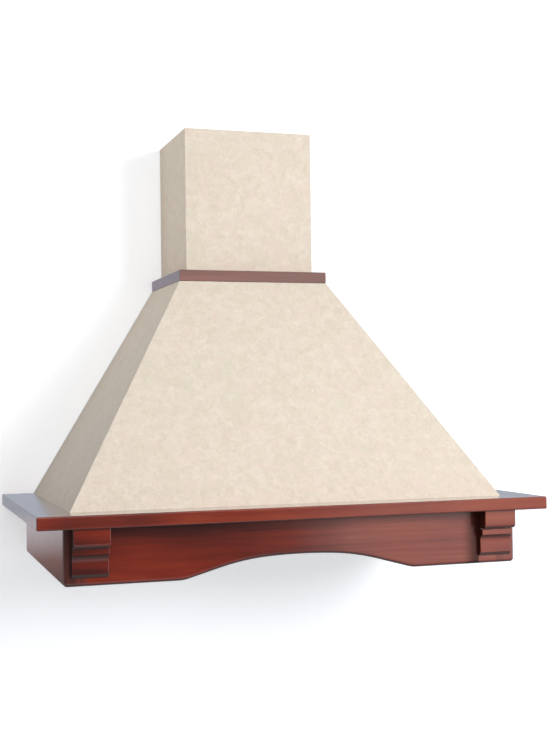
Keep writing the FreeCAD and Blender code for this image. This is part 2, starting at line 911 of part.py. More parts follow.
def chimney_screws():
    x = chimney_width / 2 - flange_hole_share * chimney_foot_flange
    level = canopy_height + chimney_sheet
    places = []
    for side in (-1, 1):
        for share in chimney_screw_shares:
            places.append((Vector(side * x, -share * chimney_depth, level), Vector(0, 0, -1)))
    return places


# Steel underside panel

def underside_panel():
    low = panel_top - panel_flange
    tray = box(-panel_half, panel_half, panel_front_y, 0, low, panel_top)
    corner_x = post_inner_x - panel_clearance
    corner_y = post_back_y + panel_clearance
    corner = box(corner_x, big, -big, corner_y, -big, big)
    hollow_x = panel_half - panel_sheet
    hollow = box(-hollow_x, hollow_x, panel_front_y + panel_sheet, -panel_sheet, low - 1, panel_bottom)
    hollow_corner = box(corner_x - panel_sheet, big, -big, corner_y + panel_sheet, -big, panel_bottom)
    tray = tray.cut(corner).cut(mirrored(corner))
    tray = tray.cut(hollow.cut(hollow_corner).cut(mirrored(hollow_corner)))
    x0 = filter_gap / 2 + filter_lip
    x1 = filter_gap / 2 + filter_width - filter_lip
    window = box(x0, x1, filter_front_y + filter_lip, filter_back_y - filter_lip, -big, big)
    tray = tray.cut(window).cut(mirrored(window))
    for x in lamp_offsets():
        start = Vector(x, strip_center_y, -big / 2)
        tray = tray.cut(rod(lamp_can_radius + hole_clearance, start, Vector(0, 0, 1), big))
    tray = tray.cut(switch_neck(hole_clearance, -big / 2, big))
    return drilled(tray, panel_rail_screws() + panel_side_screws(), wood_screw_radius, wood_screw_length)


def panel_rail_screws():
    y = (panel_front_y + rail_inner_y) / 2
    places = []
    for share in panel_front_screw_shares:
        places.append((Vector(share * canopy_half, y, panel_bottom), Vector(0, 0, 1)))
    return places


def panel_side_screws():
    level = panel_top - flange_hole_share * panel_flange
    places = []
    for side in (-1, 1):
        for share in panel_side_screw_shares:
            point = Vector(side * (panel_half - panel_sheet), share * post_back_y, level)
            places.append((point, Vector(side, 0, 0)))
    return places


# Grease filters, made for the right-hand side

def filter_frame_right():
    x0 = filter_gap / 2
    x1 = x0 + filter_width
    front = box(x0, x1, filter_front_y, filter_axis_y, filter_bottom, filter_top)
    hinge = Vector(x0, filter_axis_y, filter_axis_z)
    frame = front.fuse(rod(filter_thickness / 2, hinge, Vector(1, 0, 0), filter_width))
    bar = filter_side_bar
    inner_y = filter_front_y + filter_front_bar
    window = box(x0 + bar, x1 - bar, inner_y, filter_axis_y - bar, -big, big)
    groove = box(x0 + bar - mesh_groove, x1 - bar + mesh_groove, inner_y - mesh_groove,
                 filter_axis_y - bar + mesh_groove, mesh_level, mesh_level + mesh_thickness)
    frame = frame.cut(window).cut(groove)
    for start, into in ((x0, -1), (x1, 1)):
        place = Vector(start - into, filter_axis_y, filter_axis_z)
        frame = frame.fuse(rod(hinge_pin_radius, place, Vector(into, 0, 0), hinge_pin_length + 1))
    gap = latch_gap
    slot_half = latch_stem_width / 2 + gap
    slot_front = latch_front_y - gap
    slot_back = latch_front_y + latch_stem_depth + latch_travel + gap
    slot = box(filter_center_x - slot_half, filter_center_x + slot_half, slot_front, slot_back, -big, big)
    return frame.cut(slot).removeSplitter()


def filter_mesh_right():
    inset = filter_side_bar - mesh_groove + hole_clearance
    x0 = filter_gap / 2 + inset
    x1 = filter_gap / 2 + filter_width - inset
    front = filter_front_y + filter_front_bar - mesh_groove + hole_clearance
    back = filter_axis_y - inset
    return box(x0, x1, front, back, mesh_level, mesh_level + mesh_thickness)


def filter_latch_right():
    x = filter_center_x
    y0 = latch_front_y
    y1 = y0 + latch_stem_depth
    half = latch_stem_width / 2
    grip_top = filter_bottom - latch_gap
    head_low = panel_bottom + latch_gap
    grip_low = grip_top - latch_grip_thickness
    stem = box(x - half, x + half, y0, y1, grip_low, head_low + latch_head_height)
    wide = latch_head_width / 2
    head = box(x - wide, x + wide, y0, y1, head_low, head_low + latch_head_height)
    grip_half = latch_grip_width / 2
    grip_front = filter_front_y + latch_stem_depth
    grip = box(x - grip_half, x + grip_half, grip_front, y1 + latch_travel, grip_low, grip_top)
    pull = box(x - grip_half, x + grip_half, grip_front, grip_front + latch_grip_thickness,
               grip_low - latch_grip_lip, grip_top)
    return joined([stem, head, grip, pull])


def hinge_clip(x, side):
    y0 = filter_axis_y - clip_depth / 2
    y1 = filter_axis_y + clip_depth / 2
    low = filter_bottom - clip_drop
    outer = x + side * clip_sheet
    foot_end = x + side * clip_foot
    ear = box(min(x, outer), max(x, outer), y0, y1, low, panel_bottom)
    foot = box(min(x, foot_end), max(x, foot_end), y0, y1, panel_bottom - clip_sheet, panel_bottom)
    start = Vector(x - side * beyond, filter_axis_y, filter_axis_z)
    hole = rod(hinge_pin_radius + running_clearance, start, Vector(side, 0, 0), 2 * beyond)
    return ear.fuse(foot).cut(hole).removeSplitter()


def filter_hinge_clips():
    inner = filter_gap / 2 - latch_gap
    outer = filter_gap / 2 + filter_width + latch_gap
    clips = [hinge_clip(outer, 1), hinge_clip(-outer, -1)]
    middle = [hinge_clip(inner, -1), hinge_clip(-inner, 1)]
    return Part.makeCompound(clips + [joined(middle)])


# Lamps

def lamp_offsets():
    return (-lamp_spacing / 2, lamp_spacing / 2)


def lamp_housing(x):
    up = Vector(0, 0, 1)
    low = panel_bottom - lamp_bezel_height
    center = Vector(x, strip_center_y, low)
    bezel = rod(lamp_bezel_radius, center, up, lamp_bezel_height)
    can = rod(lamp_can_radius, center, up, lamp_bezel_height + lamp_can_height)
    body = bezel.fuse(can)
    seat = rod(lamp_lens_radius + hole_clearance, center, up, lamp_lens_thickness)
    chamber_height = lamp_bezel_height + lamp_can_height - lamp_can_head
    chamber = rod(lamp_lens_radius - lamp_lens_ledge, center, up, chamber_height)
    return body.cut(seat).cut(chamber).removeSplitter()


def lamp_lens(x):
    low = panel_bottom - lamp_bezel_height
    return rod(lamp_lens_radius, Vector(x, strip_center_y, low), Vector(0, 0, 1), lamp_lens_thickness)


# Control buttons and their switch box

def button_offsets():
    first = -button_pitch * (button_count - 1) / 2
    return [first + button_pitch * index for index in range(button_count)]


def switch_half():
    return (button_pitch * (button_count - 1) + button_width) / 2 + button_skirt + switch_bezel_margin / 2


def switch_neck(spare, z0, z1):
    half = switch_half() + spare
    deep = button_depth / 2 + button_skirt + switch_bezel_margin / 2 + spare
    return box(-half, half, strip_center_y - deep, strip_center_y + deep, z0, z1)


def button_block(x, spare, z0, z1):
    half = button_width / 2 + spare
    deep = button_depth / 2 + spare
    return box(x - half, x + half, strip_center_y - deep, strip_center_y + deep, z0, z1)


def skirt_level():
    return panel_bottom - switch_bezel_height - button_reach + button_body


def switch_box():
    low = panel_bottom - switch_bezel_height
    bezel = switch_neck(switch_bezel_margin / 2, low, panel_bottom)
    neck = switch_neck(0, panel_bottom, panel_bottom + switch_box_height)
    body = bezel.fuse(neck)
    shoulder = skirt_level() - latch_gap
    roof = skirt_level() + button_skirt_height + button_travel + latch_gap
    for x in button_offsets():
        body = body.cut(button_block(x, latch_gap, low - 1, shoulder + same))
        body = body.cut(button_block(x, button_skirt + latch_gap, shoulder, roof))
    return body.removeSplitter()


def button(x):
    low = panel_bottom - switch_bezel_height - button_reach
    cap = button_block(x, 0, low, skirt_level() + button_skirt_height / 2)

    def low_edge(b):
        return abs(b.ZMax - low) < same

    cap = cap.makeFillet(button_round, edges_where(cap, low_edge))
    skirt = button_block(x, button_skirt, skirt_level(), skirt_level() + button_skirt_height)
    return cap.fuse(skirt).removeSplitter()


# Blower: a spiral casing in two halves with its outlet pointing up

def scroll_centers():
    y, z = blower_axis_y, blower_axis_height
    shift = scroll_growth / 2
    return [(y - shift, z - shift), (y + shift, z - shift), (y + shift, z + shift)]


def scroll_wire(x, inset, top):
    growth = scroll_growth
    first = scroll_first_radius - inset
    center1, center2, center3 = scroll_centers()
    front = outlet_front_y + inset
    tongue = math.acos((front - center1[0]) / first)

    def at(center, radius, angle):
        return Vector(x, center[0] + radius * math.cos(angle), center[1] + radius * math.sin(angle))

    def arc(center, radius, start, end):
        middle = (start + end) / 2
        points = [at(center, radius, angle) for angle in (start, middle, end)]
        return Part.Arc(*points).toShape()

    arcs = [
        arc(center1, first, tongue, math.pi),
        arc(center2, first + growth, math.pi, 1.5 * math.pi),
        arc(center3, first + 2 * growth, 1.5 * math.pi, 2 * math.pi),
    ]
    rear = at(center3, first + 2 * growth, 0)
    start = at(center1, first, tongue)
    lines = [
        Part.makeLine(rear, Vector(x, rear.y, top)),
        Part.makeLine(Vector(x, rear.y, top), Vector(x, front, top)),
        Part.makeLine(Vector(x, front, top), start),
    ]
    return Part.Wire(Part.__sortEdges__(arcs + lines))


def shell_bosses():
    places = []
    for angle, turn in boss_angles:
        center = scroll_centers()[turn]
        reach = scroll_first_radius + turn * scroll_growth + (1 - boss_bite) * boss_radius
        y = center[0] + reach * math.cos(math.radians(angle))
        z = center[1] + reach * math.sin(math.radians(angle))
        places.append(Vector(0, y, z))
    return places


def boss_screws():
    return [(place - Vector(boss_start, 0, 0), Vector(1, 0, 0)) for place in shell_bosses()]


def blower_casing():
    top = plate_level
    along = Vector(1, 0, 0)
    outer = Part.Face(scroll_wire(-half_scroll, 0, top)).extrude(along * scroll_width)
    inner_x = half_scroll - scroll_wall
    inner = Part.Face(scroll_wire(-inner_x, scroll_wall, top + beyond)).extrude(along * 2 * inner_x)
    flange = box(-half_scroll - outlet_flange, half_scroll + outlet_flange, outlet_front_y - outlet_flange,
                 outlet_back_y + outlet_flange, top - outlet_flange_height, top)
    lip_start = around_axis(0, 0, -half_scroll - inlet_lip / 2)
    lip = rod(inlet_radius + scroll_wall, lip_start, along, scroll_width + inlet_lip)
    bosses = [rod(boss_radius, point, into, boss_length) for point, into in boss_screws()]
    body = joined([outer, flange, lip] + bosses).cut(inner)
    body = body.cut(rod(inlet_radius, around_axis(0, 0, -big / 2), along, big))
    screws = boss_screws() + spigot_screws() + arm_screws()
    return drilled(body, screws, sheet_screw_radius, sheet_screw_length)


def blower_shell_left():
    return blower_casing().common(box(-big / 2, 0, -big / 2, big / 2, -big / 2, big / 2))


def blower_shell_right():
    return blower_casing().common(box(0, big / 2, -big / 2, big / 2, -big / 2, big / 2))


def blade():
    outer = impeller_radius - blade_inset
    inner = outer - blade_depth
    lean = math.radians(blade_lean / 2)
    start = Vector(0, inner * math.cos(-lean / 2), inner * math.sin(-lean / 2))
    end = Vector(0, outer * math.cos(lean / 2), outer * math.sin(lean / 2))
    camber = blade_camber * blade_depth
    middle = (start + end) * 0.5 + Vector(0, camber, -camber)
    across = Vector(0, -(end - start).z, (end - start).y).normalize() * blade_thickness
    edges = [
        Part.Arc(start, middle, end).toShape(),
        Part.makeLine(end, end + across),
        Part.Arc(end + across, middle + across, start + across).toShape(),
        Part.makeLine(start + across, start),
    ]
    start = disc_thickness / 2
    face = Part.Face(Part.Wire(edges))
    face.translate(Vector(start, 0, 0))
    return face.extrude(Vector(impeller_width / 2 - blade_inset - start, 0, 0))


def impeller_disc():
    along = Vector(1, 0, 0)
    disc = rod(impeller_radius, around_axis(0, 0, -disc_thickness / 2), along, disc_thickness)
    hub = rod(hub_radius, around_axis(0, 0, -hub_length / 2), along, hub_length)
    return joined([disc, hub]).cut(rod(shaft_radius, around_axis(0, 0, -big / 2), along, big))


def half_cage():
    along = Vector(1, 0, 0)
    start = impeller_width / 2 - disc_thickness
    ring = rod(impeller_radius, Vector(start, 0, 0), along, disc_thickness)
    eye = rod(impeller_radius - blade_depth - 2 * blade_inset, Vector(start, 0, 0), along, disc_thickness)
    parts = [ring.cut(eye)]
    for index in range(blade_count):
        one = blade()
        one.rotate(Vector(0, 0, 0), along, index * 360 / blade_count)
        parts.append(one)
    cage = joined(parts)
    cage.translate(Vector(0, blower_axis_y, blower_axis_height))
    return cage


def impeller_cage():
    cage = half_cage()
    return Part.makeCompound([cage, mirrored(cage)])


def motor_shaft():
    start = motor_back_x - shaft_tail
    return rod(shaft_radius, around_axis(0, 0, start), Vector(1, 0, 0), hub_length / 2 - start)


def motor_flange_x():
    return -half_scroll - inlet_lip / 2 - motor_plate


def motor_housing():
    along = Vector(1, 0, 0)
    can = rod(motor_radius, around_axis(0, 0, motor_back_x + motor_boss_length), along, motor_length)
    can = can.makeFillet(motor_round, [edge for edge in can.Edges if edge.BoundBox.XLength < same])
    boss_run = motor_length + 2 * motor_boss_length
    boss = rod(motor_boss_radius, around_axis(0, 0, motor_back_x), along, boss_run)
    flange_start = around_axis(0, 0, motor_flange_x() - motor_plate)
    flange = rod(motor_flange_radius, flange_start, along, motor_plate)
    bore = rod(shaft_radius + running_clearance, around_axis(0, 0, -big / 2), along, big)
    body = joined([can, boss, flange]).cut(bore)
    return drilled(body, motor_screws(), sheet_screw_radius, sheet_screw_length)


def around_axis(radius, angle, x):
    y = blower_axis_y + radius * math.cos(math.radians(angle))
    z = blower_axis_height + radius * math.sin(math.radians(angle))
    return Vector(x, y, z)


def motor_screws():
    radius = (motor_radius + motor_flange_radius) / 2
    x = motor_flange_x() - motor_plate
    return [(around_axis(radius, angle, x), Vector(1, 0, 0)) for angle in spoke_angles]


def arm_screws():
    radius = bracket_arm_reach
    return [(around_axis(radius, angle, motor_flange_x()), Vector(1, 0, 0)) for angle in spoke_angles]


def motor_bracket():
    along = Vector(1, 0, 0)
    x = motor_flange_x()
    center = around_axis(0, 0, x)
    parts = [rod(motor_flange_radius + bracket_ring_width, center, along, motor_plate)]
    arm_half = bracket_arm_width / 2
    for angle in spoke_angles:
        arm = box(x, x + motor_plate, 0, bracket_arm_reach + arm_half, -arm_half, arm_half)
        arm.rotate(Vector(0, 0, 0), along, angle)
        arm.translate(Vector(0, blower_axis_y, blower_axis_height))
        parts.append(arm)
        parts.append(rod(arm_half, around_axis(bracket_arm_reach, angle, x), along, -x - half_scroll))
    body = joined(parts).cut(rod(motor_radius + hole_clearance, center - along * beyond, along, 2 * beyond))
    return drilled(body, motor_screws() + arm_screws(), sheet_screw_radius, sheet_screw_length)


# Outlet spigot and its non-return flaps

def spigot_screws():
    radius = (duct_radius + spigot_flange_radius) / 2
    level = flange_level + spigot_flange_height
    down = Vector(0, 0, -1)
    places = []
    for angle in spigot_screw_angles:
        x = radius * math.cos(math.radians(angle))
        y = duct_y + radius * math.sin(math.radians(angle))
        places.append((Vector(x, y, level), down))
    return places


def outlet_spigot():
    up = Vector(0, 0, 1)
    foot = Vector(0, duct_y, flange_level)
    inner_radius = duct_radius - spigot_wall
    tube = rod(duct_radius, foot, up, spigot_height)
    flange = rod(spigot_flange_radius, foot, up, spigot_flange_height)
    body = tube.fuse(flange).cut(rod(inner_radius, foot - up, up, spigot_height + 2))
    ledge_top = flap_level - flap_thickness / 2 - latch_gap
    ledge_foot = Vector(0, duct_y, ledge_top - flap_ledge_height)
    ledge = rod(inner_radius + spigot_wall / 2, ledge_foot, up, flap_ledge_height)
    ledge = ledge.cut(rod(inner_radius - flap_ledge, ledge_foot - up, up, flap_ledge_height + 2))
    body = body.fuse(ledge)
    pin_start = Vector(-big / 2, duct_y, flap_level)
    pin_hole = rod(flap_pin_radius + hole_clearance, pin_start, Vector(1, 0, 0), big)
    body = body.cut(pin_hole).removeSplitter()
    return drilled(body, spigot_screws(), sheet_screw_radius, sheet_screw_length)


def flap_pin():
    half = duct_radius - flap_pin_inset
    return rod(flap_pin_radius, Vector(-half, duct_y, flap_level), Vector(1, 0, 0), 2 * half)


def flap_rear():
    reach = flap_radius - flap_ledge
    quarter = reach / 2
    gap = flap_knuckle_gap
    clear = flap_knuckle_radius + latch_gap
    thick = flap_thickness / 2
    disc = rod(flap_radius, Vector(0, duct_y, flap_level - thick), Vector(0, 0, 1), flap_thickness)
    plate = disc.common(box(-big, big, duct_y + clear, big, -big, big))
    parts = [plate]
    along = Vector(1, 0, 0)
    for start, end in ((-quarter + gap, -gap), (quarter + gap, reach - gap)):
        parts.append(rod(flap_knuckle_radius, Vector(start, duct_y, flap_level), along, end - start))
        parts.append(box(start, end, duct_y, duct_y + clear + gap, flap_level - thick, flap_level + thick))
    bore = rod(flap_pin_radius + running_clearance, Vector(-big / 2, duct_y, flap_level), along, big)
    return joined(parts).cut(bore)


def flap_front():
    flap = flap_rear()
    flap.rotate(Vector(0, duct_y, 0), Vector(0, 0, 1), 180)
    return flap


# Terminal box on the back panel

def terminal_box():
    back = -canopy_sheet
    front = back - terminal_depth
    left = terminal_x - terminal_width / 2
    right = terminal_x + terminal_width / 2
    low = terminal_level
    high = terminal_level + terminal_height
    body = box(left, right, front, back, low, high)

    def front_edge(b):
        return abs(b.YMin - front) < same and b.YLength < same

    body = body.makeFillet(terminal_round, edges_where(body, front_edge))
    wall = terminal_wall
    body = body.cut(box(left + wall, right - wall, front + wall, back - wall, low + wall, high - wall))
    gland_foot = Vector(terminal_x, (front + back) / 2, low - gland_length)
    gland = rod(gland_radius, gland_foot, Vector(0, 0, 1), gland_length)
    bore = rod(gland_radius - gland_wall, gland_foot, Vector(0, 0, 1), gland_length + 2 * wall)
    ears = []
    ear_low = low + terminal_screw_level - terminal_ear_height / 2
    ear_high = ear_low + terminal_ear_height
    reach = terminal_ear_reach
    for side in (left, right):
        ears.append(box(side - reach, side + reach, back - terminal_ear_sheet, back, ear_low, ear_high))
    body = joined([body, gland] + ears).cut(bore)
    return drilled(body, terminal_screws(), sheet_screw_radius, sheet_screw_length)


def terminal_screws():
    places = []
    for side in (-1, 1):
        x = terminal_x + side * (terminal_width + terminal_ear_reach) / 2
        level = terminal_level + terminal_screw_level
        places.append((Vector(x, -canopy_sheet - terminal_ear_sheet, level), Vector(0, 1, 0)))
    return places


def sheet_screw_group():
    places = chimney_screws() + spigot_screws() + boss_screws() + motor_screws() + arm_screws()
    return fasteners(places, sheet_screw_radius, sheet_screw_length, sheet_screw_head_radius,
                     sheet_screw_head_height)


def terminal_screw_group():
    return fasteners(terminal_screws(), sheet_screw_radius, canopy_sheet + terminal_ear_sheet,
                     sheet_screw_head_radius, sheet_screw_head_height)


def export(name, shape):
    placed = shape.copy()
    placed.translate(Vector(0, 0, -wall_screw_height))
    placed.exportStep("parts/" + name + ".step")
    print(name, len(placed.Solids), round(placed.Volume / 1000, 2), placed.isValid())


def export_pair(name, shape):
    export(name + "_right", shape)
    export(name + "_left", mirrored(shape))


def main():
    os.makedirs("parts", exist_ok=True)
    export("shelf_front_rail", shelf_front_rail())
    export("shelf_rail_left", shelf_left_rail())
    export("shelf_rail_right", shelf_right_rail())
    export("shelf_back_rail", shelf_back_rail())
    export("mitre_biscuits", mitre_biscuits())
    export("frame_dowels", frame_dowels())
    export("apron_front", apron_front())
    export_pair("corner_post", corner_post_right())
    export_pair("apron_side", apron_right())
    export_pair("corbel", corbel_right())
    export("canopy_front", canopy_front())
    export_pair("canopy_side", canopy_right())
    export_pair("hip_angle", hip_angle_right())
    export("back_panel", back_panel())
    export("top_plate", top_plate())
    export("canopy_rivets", canopy_rivet_group())
    export("wood_screws", wood_screw_group())
    export("sheet_screws", sheet_screw_group())
    export("collar_front", collar_front())
    export_pair("collar_side", collar_right())
    export("lower_chimney", lower_chimney())
    export("upper_chimney", upper_chimney())
    export("chimney_bracket", chimney_bracket())
    export("bracket_rivets", bracket_rivet_group())
    export("underside_panel", underside_panel())
    export("filter_hinge_clips", filter_hinge_clips())
    export_pair("filter_frame", filter_frame_right())
    export_pair("filter_mesh", filter_mesh_right())
    export_pair("filter_latch", filter_latch_right())
    for side, x in zip(("left", "right"), lamp_offsets()):
        export("lamp_housing_" + side, lamp_housing(x))
        export("lamp_lens_" + side, lamp_lens(x))
    export("switch_box", switch_box())
    for index, x in enumerate(button_offsets()):
        export("button_" + str(index + 1), button(x))
    export("blower_shell_left", blower_shell_left())
    export("blower_shell_right", blower_shell_right())
    export("impeller_disc", impeller_disc())
    export("impeller_cage", impeller_cage())
    export("motor_shaft", motor_shaft())
    export("motor_housing", motor_housing())
    export("motor_bracket", motor_bracket())
    export("outlet_spigot", outlet_spigot())
    export("flap_pin", flap_pin())
    export("flap_rear", flap_rear())
    export("flap_front", flap_front())
    export("terminal_box", terminal_box())
    export("terminal_screws", terminal_screw_group())


main()
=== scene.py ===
import json
import math
import bmesh
import bpy
from mathutils import Matrix, Vector


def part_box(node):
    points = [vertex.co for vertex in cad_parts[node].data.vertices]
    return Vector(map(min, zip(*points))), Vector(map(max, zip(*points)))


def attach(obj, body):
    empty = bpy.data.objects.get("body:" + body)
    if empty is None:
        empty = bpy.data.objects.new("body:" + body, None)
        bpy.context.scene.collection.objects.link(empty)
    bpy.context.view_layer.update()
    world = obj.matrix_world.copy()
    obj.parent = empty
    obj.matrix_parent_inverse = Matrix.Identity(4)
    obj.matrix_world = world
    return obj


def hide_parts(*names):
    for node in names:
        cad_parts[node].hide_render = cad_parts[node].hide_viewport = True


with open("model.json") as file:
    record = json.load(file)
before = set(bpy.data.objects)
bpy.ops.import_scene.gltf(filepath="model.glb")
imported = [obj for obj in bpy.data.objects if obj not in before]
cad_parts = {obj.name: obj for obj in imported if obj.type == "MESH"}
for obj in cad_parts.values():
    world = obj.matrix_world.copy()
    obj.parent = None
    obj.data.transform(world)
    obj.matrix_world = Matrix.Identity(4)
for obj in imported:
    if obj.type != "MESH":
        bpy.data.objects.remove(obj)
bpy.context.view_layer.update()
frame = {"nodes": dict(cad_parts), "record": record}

nodes = frame["nodes"]
slotOf = {row["node"]: row["material_slot"] for row in frame["record"]["subparts"]}
print("frame loaded:", len(nodes), "nodes")


# A Field wraps a socket, so that shader maths reads as ordinary sums

class Field:
    def __init__(self, tree, socket):
        self.tree = tree
        self.socket = socket

    def term(self, kind, left, right=0.0):
        step = self.tree.nodes.new("ShaderNodeMath")
        step.operation = kind
        feed(self.tree, step.inputs[0], left)
        feed(self.tree, step.inputs[1], right)
        return Field(self.tree, step.outputs[0])

    def __add__(self, other):
        return self.term("ADD", self, other)

    def __radd__(self, other):
        return self.term("ADD", other, self)

    def __sub__(self, other):
        return self.term("SUBTRACT", self, other)

    def __rsub__(self, other):
        return self.term("SUBTRACT", other, self)

    def __mul__(self, other):
        return self.term("MULTIPLY", self, other)

    def __rmul__(self, other):
        return self.term("MULTIPLY", other, self)

    def __truediv__(self, other):
        return self.term("DIVIDE", self, other)

    def __rtruediv__(self, other):
        return self.term("DIVIDE", other, self)


def feed(tree, socket, value):
    if isinstance(value, Field):
        tree.links.new(value.socket, socket)
    elif isinstance(value, bpy.types.NodeSocket):
        tree.links.new(value, socket)
    else:
        socket.default_value = value


def setStops(ramp, stops):
    while len(ramp.elements) > 1:
        ramp.elements.remove(ramp.elements[0])
    ramp.elements[0].position, ramp.elements[0].color = stops[0]
    for position, color in stops[1:]:
        ramp.elements.new(position).color = color


class Bench:  # one node tree and the ways to add to it
    def __init__(self, tree):
        self.tree = tree

    def add(self, kind, settings=None, sockets=None):
        made = self.tree.nodes.new(kind)
        for key, value in (settings or {}).items():
            if key == "stops":
                setStops(made.color_ramp, value)
            else:
                setattr(made, key, value)
        for key, value in (sockets or {}).items():
            named = [s for s in made.inputs if s.name == key and s.enabled]
            feed(self.tree, made.inputs[key] if isinstance(key, int) else named[0], value)
        return made

    def out(self, made, name=None):
        shown = [s for s in made.outputs if s.enabled and name in (None, s.name)]
        return Field(self.tree, shown[0])

    def axes(self, vector):
        split = self.add("ShaderNodeSeparateXYZ", {}, {"Vector": vector})
        return [Field(self.tree, split.outputs[i]) for i in range(3)]

    def spread(self, value, low, high, to0=0.0, to1=1.0, smooth=False):
        kind = {"interpolation_type": "SMOOTHSTEP" if smooth else "LINEAR"}
        sockets = {"Value": value, "From Min": low, "From Max": high, "To Min": to0, "To Max": to1}
        return self.out(self.add("ShaderNodeMapRange", kind, sockets), "Result")


class Finish(Bench):  # a material
    def __init__(self, name):
        self.material = bpy.data.materials.new(name)
        self.material.use_nodes = True
        super().__init__(self.material.node_tree)
        self.tree.nodes.clear()
        self.end = self.tree.nodes.new("ShaderNodeOutputMaterial")

    def place(self):
        return Field(self.tree, self.add("ShaderNodeTexCoord").outputs["Object"])

    def stretch(self, vector, scale=(1, 1, 1), turn=(0, 0, 0), shift=(0, 0, 0)):
        sockets = {"Vector": vector, "Scale": scale, "Rotation": turn, "Location": shift}
        return self.out(self.add("ShaderNodeMapping", {}, sockets))

    def noise(self, vector, scale, detail=3.0, rough=0.5, warp=0.0):
        sockets = {"Vector": vector, "Scale": scale, "Detail": detail}
        sockets.update({"Roughness": rough, "Distortion": warp})
        return self.out(self.add("ShaderNodeTexNoise", {}, sockets))

    def cells(self, vector, scale, output="Distance"):
        made = self.add("ShaderNodeTexVoronoi", {}, {"Vector": vector, "Scale": scale})
        return self.out(made, output)

    def facing(self):  # the surface's own direction, not the camera's
        return self.axes(self.add("ShaderNodeTexCoord").outputs["Normal"])

    def along(self, value, low, high, stops):  # colours that change in one direction, by stops in metres
        rows = [((at - low) / (high - low), color) for at, color in stops]
        made = self.add("ShaderNodeValToRGB", {"stops": rows}, {"Fac": self.spread(value, low, high)})
        return Field(self.tree, made.outputs["Color"])

    def blend(self, factor, a, b):
        made = self.add("ShaderNodeMix", {"data_type": "RGBA"}, {0: factor, 6: a, 7: b})
        return Field(self.tree, made.outputs[2])

    def bump(self, height, strength, distance):
        sockets = {"Height": height, "Strength": strength, "Distance": distance}
        return self.out(self.add("ShaderNodeBump", {}, sockets))

    def surface(self, sockets):
        shader = self.add("ShaderNodeBsdfPrincipled", {}, sockets)
        self.tree.links.new(shader.outputs["BSDF"], self.end.inputs["Surface"])
        return self.material


def linear(red, green, blue):  # a screen colour (sRGB, 0 to 255) as the shader's own values
    def one(v):
        v = v / 255
        return v / 12.92 if v <= 0.04045 else ((v + 0.055) / 1.055) ** 2.4

    return (one(red), one(green), one(blue), 1.0)


def shade(color, factor):
    return tuple(c * factor for c in color[:3]) + (1.0,)


def gray(stops):  # levels as colours
    return [(at, (level, level, level, 1)) for at, level in stops]


# Camera

cameraSettings = {
    "position": (-0.691, -2.486, 0.079),
    "yaw": math.radians(18.0),
    "pitch": math.radians(0.99),
    "roll": math.radians(-0.76),
    "lens": 59.01,
    "sensor": 36.0,
}


def makeCamera():
    c = cameraSettings
    side = Vector((math.cos(c["yaw"]), -math.sin(c["yaw"]), 0))
    level = math.cos(c["pitch"])
    ahead = Vector((math.sin(c["yaw"]) * level, math.cos(c["yaw"]) * level, math.sin(c["pitch"])))
    up = side.cross(ahead)
    rolledSide = side * math.cos(c["roll"]) + up * math.sin(c["roll"])
    rolledUp = up * math.cos(c["roll"]) - side * math.sin(c["roll"])
    data = bpy.data.cameras.new("camera")
    data.lens = c["lens"]
    data.sensor_width = c["sensor"]
    camera = bpy.data.objects.new("camera", data)
    bpy.context.collection.objects.link(camera)
    turn = Matrix((rolledSide, rolledUp, -ahead)).transposed().to_4x4()
    camera.matrix_world = Matrix.Translation(c["position"]) @ turn
    bpy.context.scene.camera = camera


# Studio: a white room whose front is dark where the photographer stands

studioSettings = {
    "fill": 0.345,  # how strongly the room lights what is matt
    "bright": 0.95,
    "darkLevel": 0.10,
    "sideways": (0.27, 0.49),  # each pair is where a zone fades out; this one is x over y
    "ahead": (-0.1, 0.1),
    "above": (0.0, 0.06),
    "below": (-0.28, -0.18),
    "under": (-0.75, -0.45),
    "leastAhead": 0.02,
}

lampSettings = [
    {
        "name": "keyLamp", "power": 62.0, "size": (1.1, 1.1),
        "at": (1.35, -3.25, 0.75), "aim": (0.0, -0.2, 0.1),
    },
    {
        "name": "frontLamp", "power": 17.2, "size": (2.4, 1.6),
        "at": (-0.5, -3.6, 1.1), "aim": (0.0, -0.2, 0.0),
    },
    {
        "name": "sideLamp", "power": 0.5, "size": (0.3, 0.5),
        "at": (-1.8, -0.17, 0.78), "aim": (-0.1, -0.1, 0.52),
        "color": (1.0, 0.90, 0.72), "spread": math.radians(55),
    },
]


def makeWorld():
    s = studioSettings
    world = bpy.data.worlds.new("studio")
    bpy.context.scene.world = world
    world.use_nodes = True
    world.node_tree.nodes.clear()
    bench = Bench(world.node_tree)
    end = bench.add("ShaderNodeOutputWorld")
    path = bench.add("ShaderNodeLightPath")
    x, y, z = bench.axes(bench.add("ShaderNodeTexCoord").outputs["Generated"])
    ahead = y * -1
    side = x / ahead.term("MAXIMUM", ahead, s["leastAhead"])
    left = 1 - bench.spread(side, *s["sideways"], smooth=True)
    left = left * bench.spread(ahead, *s["ahead"], smooth=True)
    above = bench.spread(z, *s["above"], smooth=True)
    below = 1 - bench.spread(z, *s["below"], smooth=True)
    under = 1 - bench.spread(z, *s["under"], smooth=True)
    dark = left * (1 - above) * (1 - below) + below * (1 - under)
    mirrored = s["bright"] * (1 - dark * (1 - s["darkLevel"]))
    camera = Field(bench.tree, path.outputs["Is Camera Ray"])
    clear = Field(bench.tree, path.outputs["Is Transmission Ray"])
    glossy = Field(bench.tree, path.outputs["Is Glossy Ray"])
    matt = 1 - camera - clear - glossy
    strength = camera + clear + glossy * mirrored + matt * s["fill"]
    background = bench.add("ShaderNodeBackground", {}, {"Color": (1, 1, 1, 1), "Strength": strength})
    bench.tree.links.new(background.outputs[0], end.inputs["Surface"])


